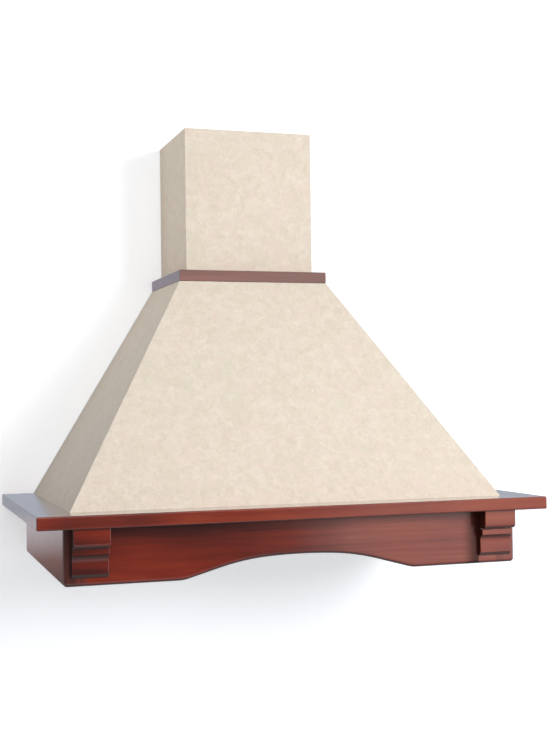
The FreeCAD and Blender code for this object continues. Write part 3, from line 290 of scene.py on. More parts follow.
def makeLamps():
    for lamp in lampSettings:
        data = bpy.data.lights.new(lamp["name"], "AREA")
        data.shape = "RECTANGLE"
        data.size, data.size_y = lamp["size"]
        data.energy = lamp["power"]
        data.color = lamp.get("color", (1, 1, 1))
        data.spread = lamp.get("spread", math.pi)
        made = bpy.data.objects.new(lamp["name"], data)
        made.visible_glossy = False  # only the white room is mirrored
        made.location = lamp["at"]
        made.rotation_euler = (Vector(lamp["aim"]) - made.location).to_track_quat("-Z", "Y").to_euler()
        bpy.context.collection.objects.link(made)


# The wall behind the hood and a floor, both open from behind; all measures in metres

backdropSettings = {
    "gap": 0.002,
    "half": 4.0,
    "floor": -1.6,
    "reach": 5.0,
    "wall": (0.80, 0.83, 0.88, 1),
    "wallLift": 0.49,
    "wallPaintedReflection": [  # a painted reflection: the image glossy rays see on the wall, by height, with painted shade bands
        (-0.70, (0.74, 0.75, 0.77, 1)), (-0.37, (0.62, 0.62, 0.64, 1)), (-0.30, (0.12, 0.08, 0.07, 1)),
        (-0.235, (0.26, 0.17, 0.16, 1)), (-0.20, (0.48, 0.41, 0.42, 1)), (-0.165, (0.62, 0.58, 0.61, 1)),
        (-0.135, (0.44, 0.48, 0.55, 1)), (0.0, (0.46, 0.50, 0.57, 1)),
    ],
    "ground": (0.62, 0.62, 0.62, 1),
    "groundLift": 0.55,
    "groundMirrored": [(-2.0, (0.60, 0.60, 0.62, 1)), (0.0, (0.60, 0.60, 0.62, 1))],
}


def backdropFinish(name, color, lift, mirrored):
    f = Finish(name)
    path = f.add("ShaderNodeLightPath")
    paint = f.add("ShaderNodeBsdfDiffuse", {}, {"Color": color})
    camera = Field(f.tree, path.outputs["Is Camera Ray"])
    glow = f.add("ShaderNodeEmission", {}, {"Color": (1, 1, 1, 1), "Strength": camera * lift})
    seen = f.add("ShaderNodeAddShader", {}, {0: paint.outputs[0], 1: glow.outputs[0]})
    # glossy rays see this emitted image by height, a painted reflection, in place of the lit paint
    shown = f.along(f.axes(f.place())[2], mirrored[0][0], mirrored[-1][0], mirrored)
    image = f.add("ShaderNodeEmission", {}, {"Color": shown, "Strength": 1.0})
    glossy = path.outputs["Is Glossy Ray"]
    both = f.add("ShaderNodeMixShader", {}, {0: glossy, 1: seen.outputs[0], 2: image.outputs[0]})
    clear = f.add("ShaderNodeBsdfTransparent")
    behind = f.add("ShaderNodeNewGeometry").outputs["Backfacing"]  # the room is open from behind
    sided = f.add("ShaderNodeMixShader", {}, {0: behind, 1: both.outputs[0], 2: clear.outputs[0]})
    f.tree.links.new(sided.outputs[0], f.end.inputs["Surface"])
    return f.material


def flatPiece(name, corners, material):
    mesh = bpy.data.meshes.new(name)
    mesh.from_pydata(corners, [], [tuple(range(len(corners)))])
    made = bpy.data.objects.new(name, mesh)
    made.data.materials.append(material)
    bpy.context.collection.objects.link(made)


def makeStage():
    s = backdropSettings
    y, h, low = s["gap"], s["half"], s["floor"]
    wall = [(-h, y, low), (h, y, low), (h, y, low + 2 * h), (-h, y, low + 2 * h)]
    ground = [(-h, y - s["reach"], low), (h, y - s["reach"], low), (h, y, low), (-h, y, low)]
    wallPaint = backdropFinish("wallPaint", s["wall"], s["wallLift"], s["wallPaintedReflection"])
    flatPiece("studioWall", wall, wallPaint)
    floorPaint = backdropFinish("floorPaint", s["ground"], s["groundLift"], s["groundMirrored"])
    flatPiece("studioFloor", ground, floorPaint)


# Finish of the canopy and chimney: beige coating with a fine cloudy mottle

coatingSettings = {
    "pale": linear(244, 233, 217),
    "deep": linear(229, 215, 197),
    "rosy": linear(240, 221, 208),
    "green": linear(228, 219, 198),
    "cloud": 62.0,  # how fine each pattern is
    "grain": 190.0,
    "drift": 24.0,
    "tint": 48.0,
    "dust": 1500.0,
    "rosyMost": 0.55,
    "greenMost": 0.45,
    "rough": (0.50, 0.66),
    "relief": 0.0004,
}


def coatingFinish():
    c = coatingSettings
    f = Finish("beigeCoating")
    at = f.place()
    cloud = f.noise(at, c["cloud"], 3.0, 0.6, 0.6)
    grain = f.noise(at, c["grain"], 3.0, 0.65, 0.3)
    drift = f.noise(f.stretch(at, shift=(3.1, 0.4, 1.7)), c["drift"], 2.0, 0.5)
    tint = f.noise(f.stretch(at, shift=(0.6, 5.2, 2.3)), c["tint"], 2.0, 0.5)
    dust = f.noise(at, c["dust"], 2.0, 0.6)
    tone = f.spread(cloud * 0.55 + grain * 0.45, 0.36, 0.64)
    base = f.blend(tone, c["deep"], c["pale"])
    base = f.blend(f.spread(tint, 0.5, 0.72, 0.0, c["rosyMost"]), base, c["rosy"])
    base = f.blend(f.spread(drift, 0.52, 0.74, 0.0, c["greenMost"]), base, c["green"])
    normal = f.bump(dust * 0.6 + grain * 0.4, 0.35, c["relief"])
    rough = f.spread(grain, 0.3, 0.7, *c["rough"])
    return f.surface({
        "Base Color": base, "Roughness": rough, "Specular IOR Level": 0.3, "Normal": normal,
    })


# Finish of the wood: stained and lacquered boards, each with its own run of grain, with painted shade,
# painted light and painted reflection in their colour

woodSettings = {
    "dark": linear(74, 22, 16),
    "red": linear(128, 40, 22),
    "orange": linear(160, 71, 35),
    "pore": linear(38, 12, 9),
    # glazeAndShade: near-black painted shade on faces out of the light, partly a dark glaze
    "glazeAndShade": linear(34, 12, 10),
    # haze: a pale pink-grey painted reflection of the bright room, mixed into the base colour
    "haze": linear(162, 136, 128),
    "figure": (1.4, 15.0, 15.0),  # each layer of the grain, coarse to fine; x runs along the board
    "ribbon": (2.6, 62.0, 62.0),
    "fibre": (9.0, 420.0, 420.0),
    "dashes": (38.0, 1100.0, 1100.0),
    "cloud": 7.0,
    "seeds": (0.2, 0.37),  # of the first board, and from board to board
    "half": 0.45,  # the stops of tone and haze lie within this distance of the middle
    "glowAcross": (-0.22, 0.02),
    "corner": (0.034, 0.004, 0.002),  # painted shadow of the corbel on the apron beside it: from, full, and gone past its side
    "polish": 0.45,
}

alongX, alongY, alongZ = (0, 0, 0), (0, 0, math.radians(90)), (0, math.radians(90), 0)
plain = {"turn": alongX, "tone": [(0.0, 0.4)], "haze": [(0.0, 0.0)], "coat": 0.05, "streak": 0.24}
boards = {
    "shelf_front_rail": {
        "tone": [(-0.45, 0.8), (-0.40, 0.30), (-0.29, 0.22), (-0.19, 0.95), (-0.04, 0.86),
                 (0.1, 0.75), (0.45, 1.0)],
        "haze": [(-0.05, 0.02), (0.12, 0.08), (0.45, 0.0)],
        "coat": 0.10,
        "streak": 0.34,
    },
    "shelf_back_rail": {},
    "shelf_rail_left": {"turn": alongY, "coat": 0.16},
    "shelf_rail_right": {"turn": alongY, "tone": [(0.0, 0.6)], "coat": 0.16},
    "apron_front": {
        "tone": [(-0.4, 0.05), (-0.29, 0.15), (-0.2, 0.08), (-0.05, 0.05), (0.06, 0.2),
                 (0.14, 0.62), (0.4, 0.72)],
        "haze": [(-0.02, 0.0), (0.09, 0.19), (0.2, 0.11), (0.4, 0.12)],
        # glow: painted light low on the left of the apron, painted shade from the shelf at its top
        "glow": 0.62,
        "streak": 0.30,
    },
    "apron_side_left": {"turn": alongY, "tone": [(0.0, 0.35)], "coat": 0.08},
    "apron_side_right": {"turn": alongY, "tone": [(0.0, 0.5)]},
    # the left post's tone is set darkest as painted shade: it stands in the shade of the shelf's corner
    "corner_post_left": {"turn": alongZ, "tone": [(0.0, 0.0)], "haze": [(0.0, 0.05)]},
    "corner_post_right": {"turn": alongZ, "tone": [(0.0, 0.5)], "haze": [(0.0, 0.12)]},
    "corbel_left": {
        "tone": [(-0.40, 0.05), (-0.33, 0.42)],
        "profiled": True,
        "paintedShadeLow": 0.35,
        "streak": 0.30,
    },
    "corbel_right": {"tone": [(0.0, 0.85)], "haze": [(0.0, 0.08)], "profiled": True, "paintedShadeLow": 0.2},
    "collar_front": {"tone": [(-0.1, 0.30), (0.1, 0.2)], "haze": [(0.0, 0.34)]},
    "collar_side_left": {"turn": alongY, "haze": [(0.0, 0.15)]},
    "collar_side_right": {"turn": alongY, "tone": [(0.0, 0.5)], "haze": [(0.0, 0.15)]},
}


def woodFinish(name, board, seed, node):
    w = woodSettings
    b = {**plain, **board}
    low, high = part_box(node)
    f = Finish(name)
    own = f.place()
    at = f.stretch(own, turn=b["turn"], shift=(seed, seed * 0.7, seed * 0.3))  # x runs with the grain
    figure = f.noise(f.stretch(at, w["figure"]), 1.0, 4.0, 0.55, 1.1)
    ribbon = f.noise(f.stretch(at, w["ribbon"]), 1.0, 4.0, 0.6, 0.5)
    fibre = f.noise(f.stretch(at, w["fibre"]), 1.0, 3.0, 0.6)
    dashes = f.noise(f.stretch(at, w["dashes"]), 1.0, 2.0, 0.5)
    cloud = f.noise(at, w["cloud"], 2.0, 0.5)
    x, y, z = f.axes(own)
    streak, half = b["streak"], w["half"]
    tone = f.along(x, -half, half, gray(b["tone"])) - 0.2
    tone = tone + f.spread(figure, 0.3, 0.7, -0.28, 0.28) + f.spread(ribbon, 0.3, 0.7, -streak, streak)
    tone = tone + f.spread(fibre, 0.3, 0.7, -0.12, 0.12) + f.spread(cloud, 0.3, 0.7, -0.16, 0.16)
    if "glow" in b:  # painted light low at the left and painted shade from the shelf at the top
        across = f.spread(x, *w["glowAcross"], 1.0, 0.3, True)
        tone = tone + f.spread(z, low[2], high[2], b["glow"], -0.25, True) * across
    # painted shade: the corbels lighter at the top and darker towards the bottom
    if "paintedShadeLow" in b:
        tone = tone + f.spread(z, low[2], high[2], -b["paintedShadeLow"], b["paintedShadeLow"], True)
    base = f.blend(f.spread(tone, -0.4, 0.4), w["dark"], w["red"])
    base = f.blend(f.spread(tone, 0.4, 1.3), base, w["orange"])
    base = f.blend(f.spread(dashes, 0.64, 0.80, 0.0, 0.45), base, w["pore"])
    # painted reflection: the haze colour mixed into the base where the lacquer mirrors the bright room
    haze = f.along(x, -half, half, gray(b["haze"])) * f.spread(ribbon, 0.3, 0.7, 0.7, 1.3)
    base = f.blend(haze, base, w["haze"])
    looks = f.facing()
    up = looks[2]
    # painted shade on faces that look down, such as the rounded bottom edges
    edge = f.spread(up * -1, 0.12, 0.7, 0.0, 0.85, True)
    # painted shade on the corbels' upward and leftward faces, which stay out of the light
    if b.get("profiled"):
        edge = edge + f.spread(up, 0.1, 0.6, 0.0, 0.9, True)
        edge = edge + f.spread(looks[0] * -1, 0.5, 0.9, 0.0, 0.9, True)
    if node == "apron_front":  # painted shadow that the right corbel casts on the apron beside it
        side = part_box("corbel_right")[0][0]
        start, full, past = w["corner"]
        rise = f.spread(x, side - start, side - full, 0.0, 0.85, True)
        edge = edge + rise * f.spread(x, side, side + past, 1.0, 0.0)
    glazeAndShade = edge * f.spread(ribbon, 0.2, 0.6, 0.8, 1.0)  # painted shade, partly a dark glaze, on the edges and faces out of the light
    base = f.blend(glazeAndShade, base, w["glazeAndShade"])
    normal = f.bump(fibre * 0.5 + dashes * 0.5, 0.10, 0.0002)
    polished = f.spread(up, 0.5, 0.9, 1.0, w["polish"], True)  # the shelf's top is rubbed smoother
    return f.surface({
        "Base Color": base,
        "Roughness": f.spread(figure, 0.3, 0.7, 0.26, 0.34) * polished,
        "Coat Weight": 1 - edge * 0.85,
        "Coat Roughness": b["coat"],
        "Coat IOR": 1.6,
        "Specular IOR Level": 0.3,
        "Normal": normal,
    })


# Finishes of what is inside and below

sheetSettings = {
    "pale": linear(196, 200, 202),
    "dark": linear(150, 156, 160),
    "stain": linear(140, 142, 140),
    "spangle": 95.0,
    "film": 14.0,
    "rough": (0.32, 0.52),
}


def galvanisedFinish():
    c = sheetSettings
    f = Finish("galvanisedSheet")
    at = f.place()
    level = f.axes(f.cells(at, c["spangle"], "Color"))[0]
    film = f.noise(at, c["film"], 4.0, 0.6)
    base = f.blend(f.spread(level, 0.0, 1.0), c["dark"], c["pale"])
    base = f.blend(f.spread(film, 0.5, 0.75, 0.0, 0.3), base, c["stain"])
    rough = f.spread(level * 0.7 + film * 0.3, 0.2, 0.8, *c["rough"])
    normal = f.bump(level, 0.08, 0.0002)
    return f.surface({"Base Color": base, "Metallic": 1.0, "Roughness": rough, "Normal": normal})


brushedSettings = {"smear": 9.0, "line": 0.84, "smeared": 0.8, "rough": (0.8, 1.25), "relief": 0.0001}


def brushedFinish(name, color, rough, run, strength=0.2):  # run stretches the lines
    c = brushedSettings
    f = Finish(name)
    at = f.place()
    lines = f.noise(f.stretch(at, run), 1.0, 4.0, 0.65)
    smear = f.noise(at, c["smear"], 3.0, 0.6)
    base = f.blend(f.spread(lines, 0.3, 0.7), shade(color, c["line"]), color)
    base = f.blend(f.spread(smear, 0.45, 0.8, 0.0, 0.25), base, shade(color, c["smeared"]))
    low, high = [rough * share for share in c["rough"]]
    roughness = f.spread(lines * 0.6 + smear * 0.4, 0.3, 0.7, low, high)
    normal = f.bump(lines, strength, c["relief"])
    return f.surface({"Base Color": base, "Metallic": 1.0, "Roughness": roughness, "Normal": normal})


castSettings = {"grain": 900.0, "stain": 40.0, "stained": 0.78, "rough": (0.85, 1.2), "relief": 0.0001}


def castFinish(name, color, rough, metallic=1.0):
    c = castSettings
    f = Finish(name)
    at = f.place()
    grain = f.noise(at, c["grain"], 3.0, 0.6)
    stain = f.noise(at, c["stain"], 3.0, 0.6)
    base = f.blend(f.spread(stain, 0.35, 0.7), color, shade(color, c["stained"]))
    low, high = [rough * share for share in c["rough"]]
    roughness = f.spread(grain, 0.3, 0.7, low, high)
    normal = f.bump(grain, 0.15, c["relief"])
    sockets = {"Base Color": base, "Metallic": metallic, "Roughness": roughness, "Normal": normal}
    return f.surface(sockets)


plasticSettings = {"haze": 30.0, "hazed": 0.82, "rough": (0.88, 1.15), "relief": 0.00015}


def plasticFinish(name, color, rough, texture=900.0, depth=0.25):
    c = plasticSettings
    f = Finish(name)
    at = f.place()
    grain = f.cells(at, texture)
    haze = f.noise(at, c["haze"], 3.0, 0.6)
    base = f.blend(f.spread(haze, 0.3, 0.75), color, shade(color, c["hazed"]))
    low, high = [rough * share for share in c["rough"]]
    roughness = f.spread(haze, 0.3, 0.7, low, high)
    normal = f.bump(grain, depth, c["relief"])
    return f.surface({"Base Color": base, "Roughness": roughness, "Normal": normal})


beechSettings = {
    "pale": linear(206, 166, 122),
    "deep": linear(188, 144, 100),
    "ray": linear(150, 106, 70),
    "rays": (60.0, 400.0, 400.0),
    "run": (20.0, 120.0, 120.0),
    "rough": 0.6,
    "relief": 0.0002,
}


def beechFinish():
    c = beechSettings
    f = Finish("beech")
    at = f.place()
    ray = f.noise(f.stretch(at, c["rays"]), 1.0, 3.0, 0.6)
    run = f.noise(f.stretch(at, c["run"]), 1.0, 3.0, 0.6)
    base = f.blend(f.spread(run, 0.3, 0.7), c["pale"], c["deep"])
    base = f.blend(f.spread(ray, 0.62, 0.75, 0.0, 0.5), base, c["ray"])
    normal = f.bump(ray, 0.2, c["relief"])
    return f.surface({"Base Color": base, "Roughness": c["rough"], "Normal": normal})


glassSettings = {
    "deep": (0.82, 0.86, 0.86, 1),
    "pale": (0.92, 0.94, 0.94, 1),
    "etch": 2400.0,
    "rough": (0.25, 0.4),
    "through": 0.55,
    "ior": 1.47,
}


def glassFinish():
    c = glassSettings
    f = Finish("frostedGlass")
    etch = f.noise(f.place(), c["etch"], 2.0, 0.6)
    return f.surface({
        "Base Color": f.blend(f.spread(etch, 0.3, 0.7), c["deep"], c["pale"]),
        "Roughness": f.spread(etch, 0.3, 0.7, *c["rough"]),
        "Transmission Weight": c["through"],
        "IOR": c["ior"],
        "Normal": f.bump(etch, 0.2, 0.0001),
    })


def makeFinishes():
    steel, aluminium, nickel = linear(188, 188, 186), linear(205, 207, 209), linear(196, 194, 190)
    zinc, button = linear(196, 192, 178), linear(150, 152, 155)
    return {
        "coated_sheet": coatingFinish(),
        "beech": beechFinish(),
        "galvanised": galvanisedFinish(),
        "stainless": brushedFinish("brushedSteel", steel, 0.30, (6.0, 900.0, 900.0)),
        "aluminium": brushedFinish("brushedAluminium", aluminium, 0.34, (8.0, 700.0, 700.0)),
        "zinc_fastener": castFinish("zincPlate", zinc, 0.32),
        "lamp_metal": brushedFinish("satinNickel", nickel, 0.24, (400.0, 400.0, 30.0), strength=0.1),
        "lamp_glass": glassFinish(),
        "control_plastic": plasticFinish("blackPlastic", (0.02, 0.02, 0.022, 1), 0.45),
        "button_plastic": plasticFinish("grayPlastic", button, 0.38),
        "casing_plastic": plasticFinish("casingPlastic", (0.035, 0.037, 0.04, 1), 0.5, texture=500.0),
        "spigot_plastic": plasticFinish("spigotPlastic", (0.018, 0.018, 0.019, 1), 0.48, texture=600.0),
        "motor_metal": castFinish("motorPaint", (0.05, 0.055, 0.06, 1), 0.42, metallic=0.4),
        "mark": plasticFinish("whitePrint", (0.72, 0.73, 0.74, 1), 0.5, texture=2600.0, depth=0.1),
    }


def dressNodes(finishes):
    first, step = woodSettings["seeds"]
    for index, (name, board) in enumerate(boards.items()):
        finishes[name] = woodFinish("lacquer" + str(index + 1), board, step * index + first, name)
    for name, piece in nodes.items():
        finish = finishes.get(name) or finishes[slotOf[name]]
        if not piece.material_slots:
            piece.data.materials.append(finish)
        for place in piece.material_slots:
            place.material = finish


# Pieces: meshes in metres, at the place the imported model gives

def smoothed(form, name, angle=35.0):
    bmesh.ops.recalc_face_normals(form, faces=form.faces)
    mesh = bpy.data.meshes.new(name)
    form.to_mesh(mesh)
    form.free()
    for face in mesh.polygons:
        face.use_smooth = True
    mesh.set_sharp_from_angle(angle=math.radians(angle))
    return mesh


def turned(name, rows, segments, change=None, ring=False):  # rows of radius and height, turned about Z
    form = bmesh.new()
    rings = []
    for index, (radius, height) in enumerate(rows):
        row = []
        for step in range(segments):
            angle = 2 * math.pi * step / segments
            r, z = change(index, radius, height, angle) if change else (radius, height)
            row.append(form.verts.new((r * math.cos(angle), r * math.sin(angle), z)))
        rings.append(row)
    pairs = list(zip(rings, rings[1:]))
    if ring:
        pairs.append((rings[-1], rings[0]))
    else:
        form.faces.new(rings[0])
        form.faces.new(rings[-1])
    for upper, lower in pairs:
        for step in range(segments):
            follow = (step + 1) % segments
            form.faces.new((upper[step], lower[step], lower[follow], upper[follow]))
    return smoothed(form, name)


def merged(name, meshes):
    form = bmesh.new()
    for mesh in meshes:
        form.from_mesh(mesh)
    return smoothed(form, name)


def addPiece(name, mesh, finish, body, replaced=()):
    made = bpy.data.objects.new(name, mesh)
    bpy.context.collection.objects.link(made)
    made.data.materials.clear()
    made.data.materials.append(finish)
    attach(made, body)
    if replaced:
        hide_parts(*replaced)


findSettings = {"merge": 1e-6, "rim": 0.95, "tail": 0.3, "digits": 5}  # rim and tail are shares


def solidsOf(name):  # the corner points of each solid of a node
    form = bmesh.new()
    form.from_mesh(nodes[name].data)
    bmesh.ops.remove_doubles(form, verts=form.verts, dist=findSettings["merge"])
    form.verts.index_update()
    seen = set()
    groups = []
    for start in form.verts:
        if start.index in seen:
            continue
        seen.add(start.index)
        waiting, points = [start], []
        while waiting:
            point = waiting.pop()
            points.append(point.co.copy())
            for edge in point.link_edges:
                other = edge.other_vert(point)
                if other.index not in seen:
                    seen.add(other.index)
                    waiting.append(other)
        groups.append(points)
    form.free()
    return groups


def placesOf(name):  # where each fastener of a node sits, which way its head looks and how large it is
    s = findSettings
    places = []
    for points in solidsOf(name):
        low = Vector([min(p[i] for p in points) for i in range(3)])
        high = Vector([max(p[i] for p in points) for i in range(3)])
        size, middle = high - low, (low + high) / 2
        axis = max(range(3), key=lambda i: abs(size[i] * 2 - size[i - 1] - size[i - 2]))
        radius = (size[axis - 1] + size[axis - 2]) / 4

        def off(p):
            return math.hypot(p[axis - 1] - middle[axis - 1], p[axis - 2] - middle[axis - 2])

        rim = [p[axis] for p in points if off(p) > radius * s["rim"]]
        side = 1 if sum(rim) / len(rim) > middle[axis] else -1
        heading = Vector([side if i == axis else 0 for i in range(3)])
        end = high[axis] if side > 0 else low[axis]
        depth = max(abs(end - level) for level in rim)
        tail = [off(p) for p in points if (p[axis] - middle[axis]) * side < -size[axis] * s["tail"]]
        at = middle + heading * size[axis] / 2
        sizes = tuple(round(v, s["digits"]) for v in (size[axis], radius, depth, max(tail)))
        places.append((at, heading, sizes))
    return places


scatterSettings = {"seed": 7, "turn": 6.28}  # a fastener is turned about its axis by up to this


def scatterTree(template, finish):
    tree = bpy.data.node_groups.new("scatter", "GeometryNodeTree")
    tree.interface.new_socket("Places", in_out="INPUT", socket_type="NodeSocketGeometry")
    tree.interface.new_socket("Spin", in_out="INPUT", socket_type="NodeSocketFloat")
    tree.interface.new_socket("Pieces", in_out="OUTPUT", socket_type="NodeSocketGeometry")
    b = Bench(tree)
    source, end = b.add("NodeGroupInput"), b.add("NodeGroupOutput")
    copy = b.add("GeometryNodeObjectInfo", {}, {"Object": template, "As Instance": True})
    named = b.add("GeometryNodeInputNamedAttribute", {"data_type": "FLOAT_VECTOR"}, {"Name": "heading"})
    heading = b.out(named, "Attribute")
    align = b.add("FunctionNodeAlignRotationToVector", {"axis": "Z"}, {"Vector": heading})
    chance = b.add("FunctionNodeRandomValue", {"data_type": "FLOAT"},
                   {"Min": 0.0, "Max": source.outputs["Spin"], "Seed": scatterSettings["seed"]})
    about = b.add("FunctionNodeAxisAngleToRotation", {}, {"Axis": (0, 0, 1), "Angle": b.out(chance)})
    turn = b.add("FunctionNodeRotateRotation", {"rotation_space": "LOCAL"},
                 {"Rotation": b.out(align), "Rotate By": b.out(about)})
    placed = b.add("GeometryNodeInstanceOnPoints", {}, {
        "Points": source.outputs["Places"],
        "Instance": copy.outputs["Geometry"],
        "Rotation": b.out(turn),
    })
    real = b.add("GeometryNodeRealizeInstances", {}, {"Geometry": placed.outputs["Instances"]})
    done = b.add("GeometryNodeSetMaterial", {}, {"Geometry": real.outputs["Geometry"], "Material": finish})
    feed(tree, end.inputs["Pieces"], done.outputs["Geometry"])
    return tree


def evaluated(name, mesh, tree, values):  # the mesh that a node tree makes
    holder = bpy.data.objects.new(name, mesh)
    bpy.context.collection.objects.link(holder)
    modifier = holder.modifiers.new(name, "NODES")
    modifier.node_group = tree
    for item in tree.interface.items_tree:
        if item.in_out == "INPUT" and item.name in values:
            modifier[item.identifier] = values[item.name]
    result = bpy.data.meshes.new_from_object(holder.evaluated_get(bpy.context.evaluated_depsgraph_get()))
    bpy.data.objects.remove(holder)
    return result


def scattered(name, places, template, finish, spin):
    points = bpy.data.meshes.new(name + "Points")
    points.from_pydata([place[0] for place in places], [], [])
    heading = points.attributes.new("heading", "FLOAT_VECTOR", "POINT")
    for index, place in enumerate(places):
        heading.data[index].vector = place[1]
    holder = bpy.data.objects.new(name + "Template", template)
    bpy.context.collection.objects.link(holder)
    result = evaluated(name, points, scatterTree(holder, finish), {"Spin": spin})
    bpy.data.objects.remove(holder)
    return result


screwSettings = {
    "pitch": 0.0019,
    "steps": 5,  # rows of points in one pitch
    "core": 0.72,
    "dome": 0.55,
    "domeRows": (0.05, 0.12, 0.2, 0.28, 0.36, 0.44, 0.52, 0.6, 0.72, 0.86, 0.96, 1.0),  # radii
    "rimDepth": 0.8,
    "rimUnder": 0.94,
    "recess": 0.60,
    "recessDepth": 0.75,
    "recessRise": 0.6,
    "arm": 0.13,
    "tip": 0.22,
    "tipLeast": 0.05,
    "plainRows": 3,
    "segments": 28,
}


def screwMesh(name, sizes):
    s = screwSettings
    length, radius, depth, shank = sizes
    rows = [(radius * share, -s["dome"] * depth * share ** 3) for share in s["domeRows"]]
    top = len(rows)
    rows += [(radius, -s["rimDepth"] * depth), (radius * s["rimUnder"], -depth), (shank, -depth)]
    stem = length - depth
    count = round(stem / s["pitch"] * s["steps"])
    for step in range(1, count + 1):
        share = step / count
        taper = min(1.0, (1 - share) / s["tip"])
        rows.append((shank * max(taper, s["tipLeast"]), -depth - stem * share))

    def change(index, r, z, angle):
        if index < top:
            share = r / radius
            arm = min(abs(math.sin(angle)), abs(math.cos(angle))) * share
            if share < s["recess"] and arm < s["arm"]:
                z -= depth * s["recessDepth"] * (1 - share / s["recess"] * s["recessRise"])
        elif index > top + s["plainRows"]:
            phase = (z / s["pitch"] + angle / (2 * math.pi)) % 1
            r *= s["core"] + (1 - s["core"]) * abs(2 * phase - 1)
        return r, z

    return turned(name, rows, s["segments"], change)


rivetSettings = {
    "head": [  # shares of radius and depth
        (0.1, -0.7), (0.28, -0.7), (0.30, -0.08), (0.36, 0.0),
        (0.55, -0.08), (0.8, -0.42), (0.96, -0.8), (1.0, -1.0),
    ],
    "tail": 0.8,
    "segments": 32,
}


def rivetMesh(name, sizes):
    s = rivetSettings
    length, radius, depth, shank = sizes
    rows = [(radius * out, depth * up) for out, up in s["head"]]
    rows += [(shank, -depth), (shank, -length * s["tail"]), (shank * s["tail"], -length)]
    return turned(name, rows, s["segments"])


dowelSettings = {"chamfer": 0.0015, "inner": (0.4, 0.75), "flutes": 8, "groove": 0.05, "segments": 96}


def dowelMesh(name, sizes):
    s = dowelSettings
    length, radius = sizes[:2]
    inner, outer = [radius * share for share in s["inner"]]
    rows = [(inner, 0), (outer, 0), (radius, -s["chamfer"]), (radius, -length / 2)]
    rows += [(radius, s["chamfer"] - length), (outer, -length), (inner, -length)]

    def flutes(index, r, z, angle):
        return r * (1 - s["groove"] + s["groove"] * abs(math.cos(s["flutes"] * angle))), z

    return turned(name, rows, s["segments"], flutes)


def makeFasteners(finishes):
    turn = scatterSettings["turn"]
    kinds = [
        ("woodScrews", "wood_screws", screwMesh, "zinc_fastener", "hood", turn),
        ("sheetScrews", "sheet_screws", screwMesh, "zinc_fastener", "hood", turn),
        ("terminalScrews", "terminal_screws", screwMesh, "zinc_fastener", "hood", turn),
        ("canopyRivets", "canopy_rivets", rivetMesh, "zinc_fastener", "hood", 0.0),
        ("bracketRivets", "bracket_rivets", rivetMesh, "zinc_fastener", "chimney_extension", 0.0),
        ("frameDowels", "frame_dowels", dowelMesh, "beech", "hood", turn),
    ]
    for name, node, maker, slot, body, spin in kinds:
        places = placesOf(node)
        sizes = sorted({place[2] for place in places})
        groups = []
        for index, size in enumerate(sizes):
            chosen = [place for place in places if place[2] == size]
            part = name + str(index + 1)
            groups.append(scattered(part, chosen, maker(part, size), finishes[slot], spin))
        addPiece(name, merged(name, groups), finishes[slot], body, (node,))
        print(name + ":", len(places), "in", len(sizes), "sizes")


foilSettings = {
    "cell": 0.0075,
    "strand": 0.0013,
    "foil": 0.0002,
    "wave": 0.0008,
    "waveLength": 0.022,
    "layers": 4,
    "span": 0.96,  # side of the turned grid, as a share of the foil's width and depth together
    "squash": 0.62,
    "shift": (0.31, 0.186),  # from layer to layer, in cells
    "phase": 2.1,
}


